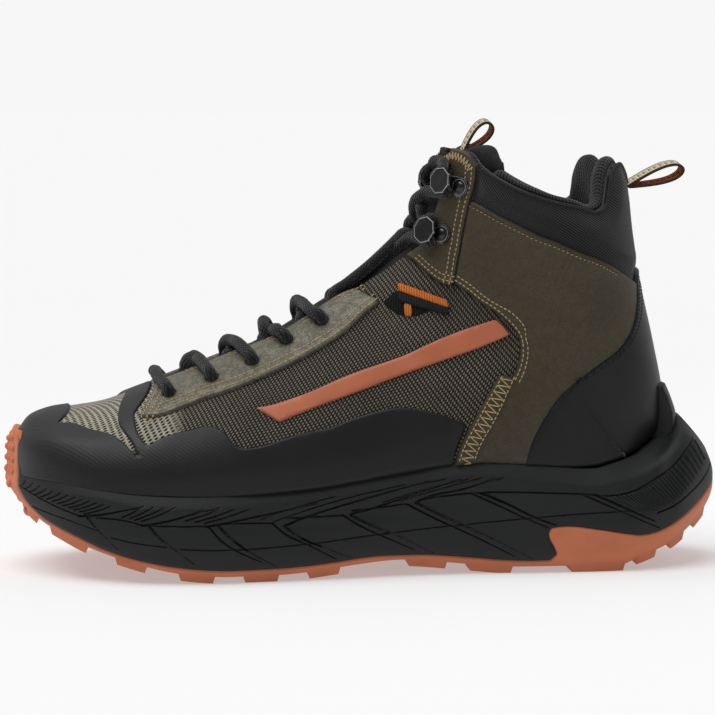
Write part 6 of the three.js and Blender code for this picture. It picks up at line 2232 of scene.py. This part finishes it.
    def ribs(self, points, v):
        """The fine ribs of the heel's sides, each a bead of foam sunk by half."""
        top, foot = smooth_line(RIB_TOP, False), smooth_line(RIB_FOOT, False)
        pieces = []
        for near in (v < 0.98, v > 2.02):
            side = points[near & (points[:, 0] < 10) & (points[:, 2] < 60)]
            for share in np.linspace(0, 1, HEEL_RIBS):
                a = read_line(top, np.array([share * (len(top) - 1)]))[0]
                b = read_line(foot, np.array([share * (len(foot) - 1)]))[0]
                line = a + (b - a) * np.linspace(0, 1, 12)[:, None]
                gaps = np.linalg.norm(side[:, None, [0, 2]] - line[None], axis=-1)
                nearest = np.argsort(gaps, axis=0)[:4]
                weight = 1 / (np.take_along_axis(gaps, nearest, 0) + 0.1) ** 2
                y = (side[nearest, 1] * weight).sum(axis=0) / weight.sum(axis=0)
                centre = np.stack([line[:, 0], y, line[:, 1]], -1)
                pieces.append(sweep(centre, RIB_RADIUS, 6, "heel_rib", "Black foam"))
        return pieces

    def lid(self):
        """The ledge from the rim in to the upper, and the saddle between the rims at the heel."""
        strips = []
        ends = (TAB_ROW - 0.05, TIP_ROW, LAST_ROW)
        for v, turn, k in ((0.0, 1, 0), (3.0, -1, 0), (0.0, 1, 1), (3.0, -1, 1)):
            u = np.linspace(ends[k], ends[k + 1], (240, 40)[k])
            points, normals, offset, _ = self.shaped(np.stack([u, np.full(len(u), v)], -1))
            rim = points + normals * offset[:, None]
            tangent = np.gradient(rim, axis=0) * turn
            inward = unit(np.stack([tangent[:, 1], -tangent[:, 0], 0 * u], -1))
            rows = [rim + inward * far + [0, 0, up]
                    for far, up in ((0, 0), (0.5, 0.25), (1.6, 0.1), (8.0, -2.5))]
            strips.append((np.stack(rows, 1), turn, "Rust rubber" if k else "Black foam"))
        u = np.linspace(0, TAB_ROW, 40)
        rims = []
        for v in (0.0, 3.0):
            points, normals, offset, _ = self.shaped(np.stack([u, np.full(len(u), v)], -1))
            rims.append(points + normals * offset[:, None])
        share = np.linspace(0, 1, 15)[None, :, None]
        saddle = rims[0][:, None] * (1 - share) + rims[1][:, None] * share
        saddle[..., 2] += 1.2 * np.sin(np.pi * share[..., 0])
        saddle = np.concatenate([saddle, saddle[-1:] + [5.0, 0, -2.0]])
        strips.append((saddle, 1, "Black foam"))
        pieces = []
        for rows, turn, finish in strips:
            grid = Patch(np.arange(rows.shape[0]), np.arange(rows.shape[1]))
            faces = [face[::-turn] for face in grid.faces]
            pieces.append(make_object("rim_ledge", rows.reshape(-1, 3), faces,
                                      {"groove": np.zeros(len(grid.place))}, merge=0.01))
            dress(pieces[-1], finish)
            if sum(p.normal.z * p.area for p in pieces[-1].data.polygons) < 0:
                edit_all(pieces[-1], "flip_normals")
        return join(pieces[:2] + pieces[4:], "rim_ledge"), join(pieces[2:4], "toe_ledge")

    def nubs(self, points, normals):
        """Rows of round nubs round the toe's front, from one primitive."""
        bpy.ops.mesh.primitive_uv_sphere_add(segments=12, ring_count=8, radius=MM)
        nub = bpy.context.active_object
        bpy.ops.object.shade_smooth()
        dress(nub, "Rust rubber")
        copies = []
        for height, number, pitch, width, thickness in NUB_ROWS:
            for k in range(number):
                aside = NUB_MIDDLE + (k - (number - 1) / 2) * pitch
                reach = np.hypot(points[:, 1] - aside, points[:, 2] - height) - 0.05 * points[:, 0]
                i = int(np.argmin(reach))
                copy = nub.copy()
                copy.data = nub.data.copy()
                bpy.context.collection.objects.link(copy)
                turn = Vector(normals[i]).to_track_quat("Z", "Y").to_matrix().to_4x4()
                size = Matrix.Diagonal((width, thickness, 0.8 * thickness, 1.0))
                copy.data.transform(Matrix.Translation(Vector(points[i] * MM)) @ turn @ size)
                copies.append(copy)
        bpy.data.objects.remove(nub)
        return copies


# Lace and hooks.
HOOK_SHARE = 0.62
HEAD_HEIGHT = 5.6
ON_TONGUE = -0.5


def hook_place(name, inner):
    """A hook's base on the panel, its way out, its way to the head, and how far that is."""
    rivet_x, rivet_z, head_x, head_z = HOOKS[name]
    at, turn = on_side(along_foot(rivet_x), up_shaft(rivet_z), inner)
    base = off_surface(at, turn, np.array(OVERLAY + CLEARANCE))
    out = outward(at, turn)
    head = surface(*on_side(along_foot(head_x), up_shaft(head_z), inner)) - base
    forward = head - out * (head @ out)
    return base, out, unit(forward), HOOK_SHARE * float(np.linalg.norm(forward))


class BOOT_OT_hooks(bpy.types.Operator):
    """Makes the four lace hooks from one, each turned to its panel"""
    bl_idname = "boot.hooks"
    bl_label = "Hooks"

    def model(self, reach):
        """One hook lying along X from its rivet to its head, standing off along Z."""
        parts = []

        def solid(radius, depth, x, z, vertices=24, bevel=0.35):
            bpy.ops.mesh.primitive_cylinder_add(vertices=vertices, radius=radius * MM,
                                                depth=depth * MM, location=(x * MM, 0, z * MM))
            piece = bpy.context.active_object
            bpy.ops.object.transform_apply(location=True)
            dress(piece, "Hook metal", "Hook edge")
            # The bevel's faces take the second material, a painted highlight along the rim.
            if bevel:
                with_modifier(piece, "BEVEL", width=bevel * MM, segments=2, limit_method="ANGLE",
                              material=1)
            parts.append(piece)
            return piece

        plate = solid(HOOK_RIVET, HOOK_PLATE, 0, HOOK_PLATE / 2, bevel=0)
        nose = solid(2.5, HOOK_PLATE, reach, HOOK_PLATE / 2, bevel=0)
        parts.clear()
        joined = join([plate, nose], "hook_plate")
        edit_all(joined, "convex_hull")
        dress(joined, "Hook metal", "Hook edge")
        # The plate's bevel takes the painted highlight along its rim.
        with_modifier(joined, "BEVEL", width=0.35 * MM, segments=2, limit_method="ANGLE", material=1)
        parts.append(joined)
        bpy.ops.mesh.primitive_uv_sphere_add(segments=24, ring_count=12, radius=2.5 * MM,
                                             location=(0, 0, HOOK_PLATE * MM))
        dome = bpy.context.active_object
        dome.scale = (1, 1, 0.42)
        bpy.ops.object.transform_apply(location=True, scale=True)
        dress(dome, "Hook metal")
        parts.append(dome)
        solid(3.5, 0.5, 0, HOOK_PLATE + 0.1, bevel=0.15)
        neck = solid(2.3, HEAD_HEIGHT - 0.6, reach - 0.3, (HEAD_HEIGHT + 0.6) / 2, 20, 0.5)
        only(neck)
        bpy.ops.object.mode_set(mode="EDIT")
        bpy.ops.mesh.select_all(action="SELECT")
        bpy.ops.transform.resize(value=(0.8, 1.0, 1.0), center_override=((reach - 0.3) * MM, 0, 0))
        bpy.ops.object.mode_set(mode="OBJECT")
        head = solid(HOOK_HEAD / 2, 1.5, reach, HEAD_HEIGHT, 8, 0)
        only(head)
        bpy.ops.object.mode_set(mode="EDIT")
        bpy.ops.mesh.select_all(action="DESELECT")
        bpy.ops.object.mode_set(mode="OBJECT")
        for face in head.data.polygons:
            face.select = face.normal.z > 0.9
        bpy.ops.object.mode_set(mode="EDIT")
        bpy.ops.mesh.select_mode(type="FACE")
        bpy.ops.mesh.inset(thickness=0.9 * MM, depth=0)
        bpy.ops.mesh.select_all(action="SELECT")
        bpy.ops.transform.resize(value=(1.0, 1.18, 1.0), center_override=(reach * MM, 0, 0))
        bpy.ops.object.mode_set(mode="OBJECT")
        # The head's bevel takes the painted highlight along its rim.
        with_modifier(head, "BEVEL", width=0.32 * MM, segments=2, limit_method="ANGLE", material=1)
        hook = join(parts, "hook_model")
        bpy.ops.object.shade_smooth_by_angle(angle=math.radians(35))
        return hook

    def execute(self, context):
        for name in HOOKS:
            for inner in (False, True):
                base, out, forward, reach = hook_place(name, inner)
                hook = self.model(reach)
                hook.name = f"{name}_hook_{'in' if inner else 'out'}"
                across = np.cross(out, forward)
                turn = Matrix(np.stack([forward, across, out], 1).tolist()).to_4x4()
                hook.data.transform(Matrix.Translation(Vector(base * MM)) @ turn)
                place_on_root(hook, "hook_metal", f"{name}_hook_{'inner' if inner else 'outer'}")
        return {"FINISHED"}


class BOOT_OT_lace(bpy.types.Operator):
    """Threads the lace over the tongue, down through the eyelets and round the hooks"""
    bl_idname = "boot.lace"
    bl_label = "Lace"

    def ridge_point(self, share_x, share_z, lift, aside):
        at, _ = on_side(along_foot(share_x), up_shaft(share_z))
        return off_surface(at, 1.0, np.array(lift)) + np.array([0, aside, 0])

    def execute(self, context):
        radius = size_mm("lace_diameter") / 2
        lift = OVERLAY + radius + 0.25

        def at_eyelet(i, inner, offset):
            at, turn = on_side(along_foot(EYELETS[i][0]), up_shaft(EYELETS[i][1]), inner)
            return off_surface(at, turn, np.array(offset))

        def on_edge(at, inner, offset, beyond):
            aside = throat_half(np.array(at)) + beyond
            return off_surface(at, turn_beside(np.array(at), aside, inner), np.array(offset))

        def level(i):
            return float(on_side(along_foot(EYELETS[i][0]), up_shaft(EYELETS[i][1]))[0])

        def down_through(i, inner):
            return [on_edge(level(i) - 0.12, inner, lift + 0.2, 1.5), at_eyelet(i, inner, lift + 0.2),
                    at_eyelet(i, inner, 0.2), at_eyelet(i, inner, -3.2)]

        def across(start, end, from_inner, high):
            """Slantwise over the ridge, from under one edge of the throat to the other side."""
            points = []
            for share, dip in ((0.12, 1.5), (0.32, 0.4), (0.5, 0.0), (0.68, 0.1), (0.88, 0.2)):
                at = np.array(start + (end - start) * share)
                aside = (throat_half(at) - 3.5) * (1 - 2 * share)
                turn = turn_beside(at, abs(aside), from_inner if aside > 0 else not from_inner)
                points.append(off_surface(at, turn, np.array(high - dip)))
            return points

        strands = []
        for start_inner in (False, True):
            first = level(0) - 0.10
            points = [off_surface(first, 1.0, np.array(lift - 0.4)),
                      off_surface(first, turn_beside(np.array(first), 6.0, start_inner),
                                  np.array(lift - 0.3))]
            inner = start_inner
            points += down_through(0, inner)
            for i in range(1, len(EYELETS)):
                leave = level(i - 1) + 0.35
                points.append(on_edge(leave - 0.1, inner, -3.4, 1.0))
                points.append(on_edge(leave, inner, -0.5, -3.5))
                points += across(leave, level(i) - 0.15, inner, lift - (4.6 if start_inner else 0.7))
                inner = not inner
                points += down_through(i, inner)
            leave = level(len(EYELETS) - 1) + 0.4
            points.append(on_edge(leave - 0.1, inner, -3.4, 1.0))
            points.append(on_edge(leave, inner, 0.0, -3.5))
            for name in HOOKS:
                goal = hook_place(name, not inner)
                neck = goal[0] + goal[1] * (HEAD_HEIGHT / 2 + 0.4)
                around = neck + goal[2] * (goal[3] + radius + 2.0)
                below = neck + goal[2] * goal[3] - np.array([0.25, 0, 1.0]) * (radius + 2.6)
                above = neck + goal[2] * goal[3] + np.array([-0.25, 0, 1.0]) * (radius + 2.6)
                beside = float(on_side(neck[0] + goal[2][0] * goal[3], neck[2])[0])
                points += across(leave, beside - 0.35, inner, ON_TONGUE + (0 if start_inner else 2.6))
                points += [below, around, above]
                leave = beside + 0.25
                inner = not inner
            last = float(on_side(above[0], above[2])[0])
            for up, high, beyond in ((0.25, 4.6, 2.5), (0.42, 2.6, -1.0), (0.36, -1.6, -4.5),
                                     (0.12, -3.2, -7.5)):
                points.append(on_edge(last + up, inner, high, beyond))
            line = spline(np.array(points), 0.9)
            strands.append(sweep(line, radius, 14, f"strand_{len(strands)}", "Braided lace"))
        lace = join(strands, "laces")
        place_on_root(lace, "lace", "lace")
        return {"FINISHED"}


# Pull loops.
LOOP_ROOT = 0.24
LOOP_ROLL = 0.16
RIBBON_SHEET = 1.0
HEEL_LOOP_AT = 19.2
HEEL_LOOP_RISE = 0.31
TONGUE_LOOP_RISE = 0.8
TONGUE_TO = 17.4
TONGUE_LOOP_LENGTH = 18.8


class BOOT_OT_loops(bpy.types.Operator):
    """Bends the ribbon pull loops of the heel and the tongue"""
    bl_idname = "boot.loops"
    bl_label = "Pull loops"

    def ribbon(self, name, root, rise, length=LOOP_LENGTH):
        along, across = 90, 8
        angle = -np.pi + 2 * np.pi * (np.arange(along + 1)) / along
        reach = length / 2 - RIBBON / 2
        pinch = 1 + (LOOP_ROOT - 1) * (1 - np.cos(angle)) / 2
        out = length / 2 + reach * np.cos(angle)
        lift = (LOOP_HEIGHT / 2 - RIBBON / 2) * np.sin(angle) * pinch
        way = np.array([-math.cos(rise), 0, math.sin(rise)])
        up = np.array([math.sin(rise), 0, math.cos(rise)])
        line = root + out[:, None] * way + lift[:, None] * up
        lengths = np.concatenate([[0], np.cumsum(np.linalg.norm(np.diff(line, axis=0), axis=1))])
        y = np.linspace(-LOOP_WIDTH / 2, LOOP_WIDTH / 2, across + 1)
        points = line[:, None, :] + y[None, :, None] * np.array([0, 1, -LOOP_ROLL])
        cloth = np.stack(np.broadcast_arrays(lengths[:, None], y[None, :]), -1).reshape(-1, 2)
        grid = Patch(np.arange(along + 1), np.arange(across + 1))
        piece = make_object(name, points.reshape(-1, 3), grid.faces, {"cloth": cloth}, merge=0)
        outside = piece.data.polygons[len(piece.data.polygons) // 2]
        if (np.array(outside.normal) @ way) < 0:
            edit_all(piece, "flip_normals")
        dress(piece, "Cream ribbon", "Orange ribbon")
        return with_modifier(piece, "SOLIDIFY", thickness=RIBBON_SHEET * MM, offset=0, material_offset=1)

    def execute(self, context):
        heel_root = off_surface(HEEL_LOOP_AT, 0.0, np.array(0.0))
        heel = self.ribbon("heel_pull", heel_root, HEEL_LOOP_RISE)
        place_on_root(heel, "tape", "heel_loop")
        tongue_root = off_surface(TONGUE_TO, 1.0, np.array(-(UPPER_WALL + CLEARANCE) - TONGUE_PADDING / 2))
        tongue_root = tongue_root + 2 * CLEARANCE * np.array(
            [-math.cos(TONGUE_LOOP_RISE), 0, math.sin(TONGUE_LOOP_RISE)])
        tongue = self.ribbon("tongue_pull", tongue_root, TONGUE_LOOP_RISE, TONGUE_LOOP_LENGTH)
        place_on_root(tongue, "tape", "tongue_loop")
        return {"FINISHED"}


class BOOT_PT_panel(bpy.types.Panel):
    """Lists the boot's sizes, colours and operators"""
    bl_idname = "BOOT_PT_panel"
    bl_label = "Hiking boot"
    bl_space_type = "VIEW_3D"
    bl_region_type = "UI"
    bl_category = "Boot"

    def draw(self, context):
        for operator in PIECES:
            self.layout.operator(operator.bl_idname)
        for group in (context.scene.boot_sizes, context.scene.boot_colours):
            box = self.layout.box()
            for name in type(group).__annotations__:
                box.prop(group, name)


PIECES = [BOOT_OT_stage, BOOT_OT_lace, BOOT_OT_upper, BOOT_OT_overlays, BOOT_OT_guard,
          BOOT_OT_collar, BOOT_OT_tongue, BOOT_OT_insole, BOOT_OT_sole, BOOT_OT_hooks,
          BOOT_OT_loops, BOOT_OT_sewing]
CLASSES = [BootColours, BootSizes, *PIECES, BOOT_PT_panel]


def register():
    for cls in CLASSES:
        bpy.utils.register_class(cls)
    bpy.types.Scene.boot_colours = bpy.props.PointerProperty(type=BootColours)
    bpy.types.Scene.boot_sizes = bpy.props.PointerProperty(type=BootSizes)


def unregister():
    del bpy.types.Scene.boot_colours
    del bpy.types.Scene.boot_sizes
    for cls in reversed(CLASSES):
        bpy.utils.unregister_class(cls)


def main():
    register()
    for operator in PIECES:
        family, name = operator.bl_idname.split(".")
        if "FINISHED" not in getattr(getattr(bpy.ops, family), name)():
            raise RuntimeError(f"{operator.bl_label} was not finished")


if __name__ == "__main__":
    main()
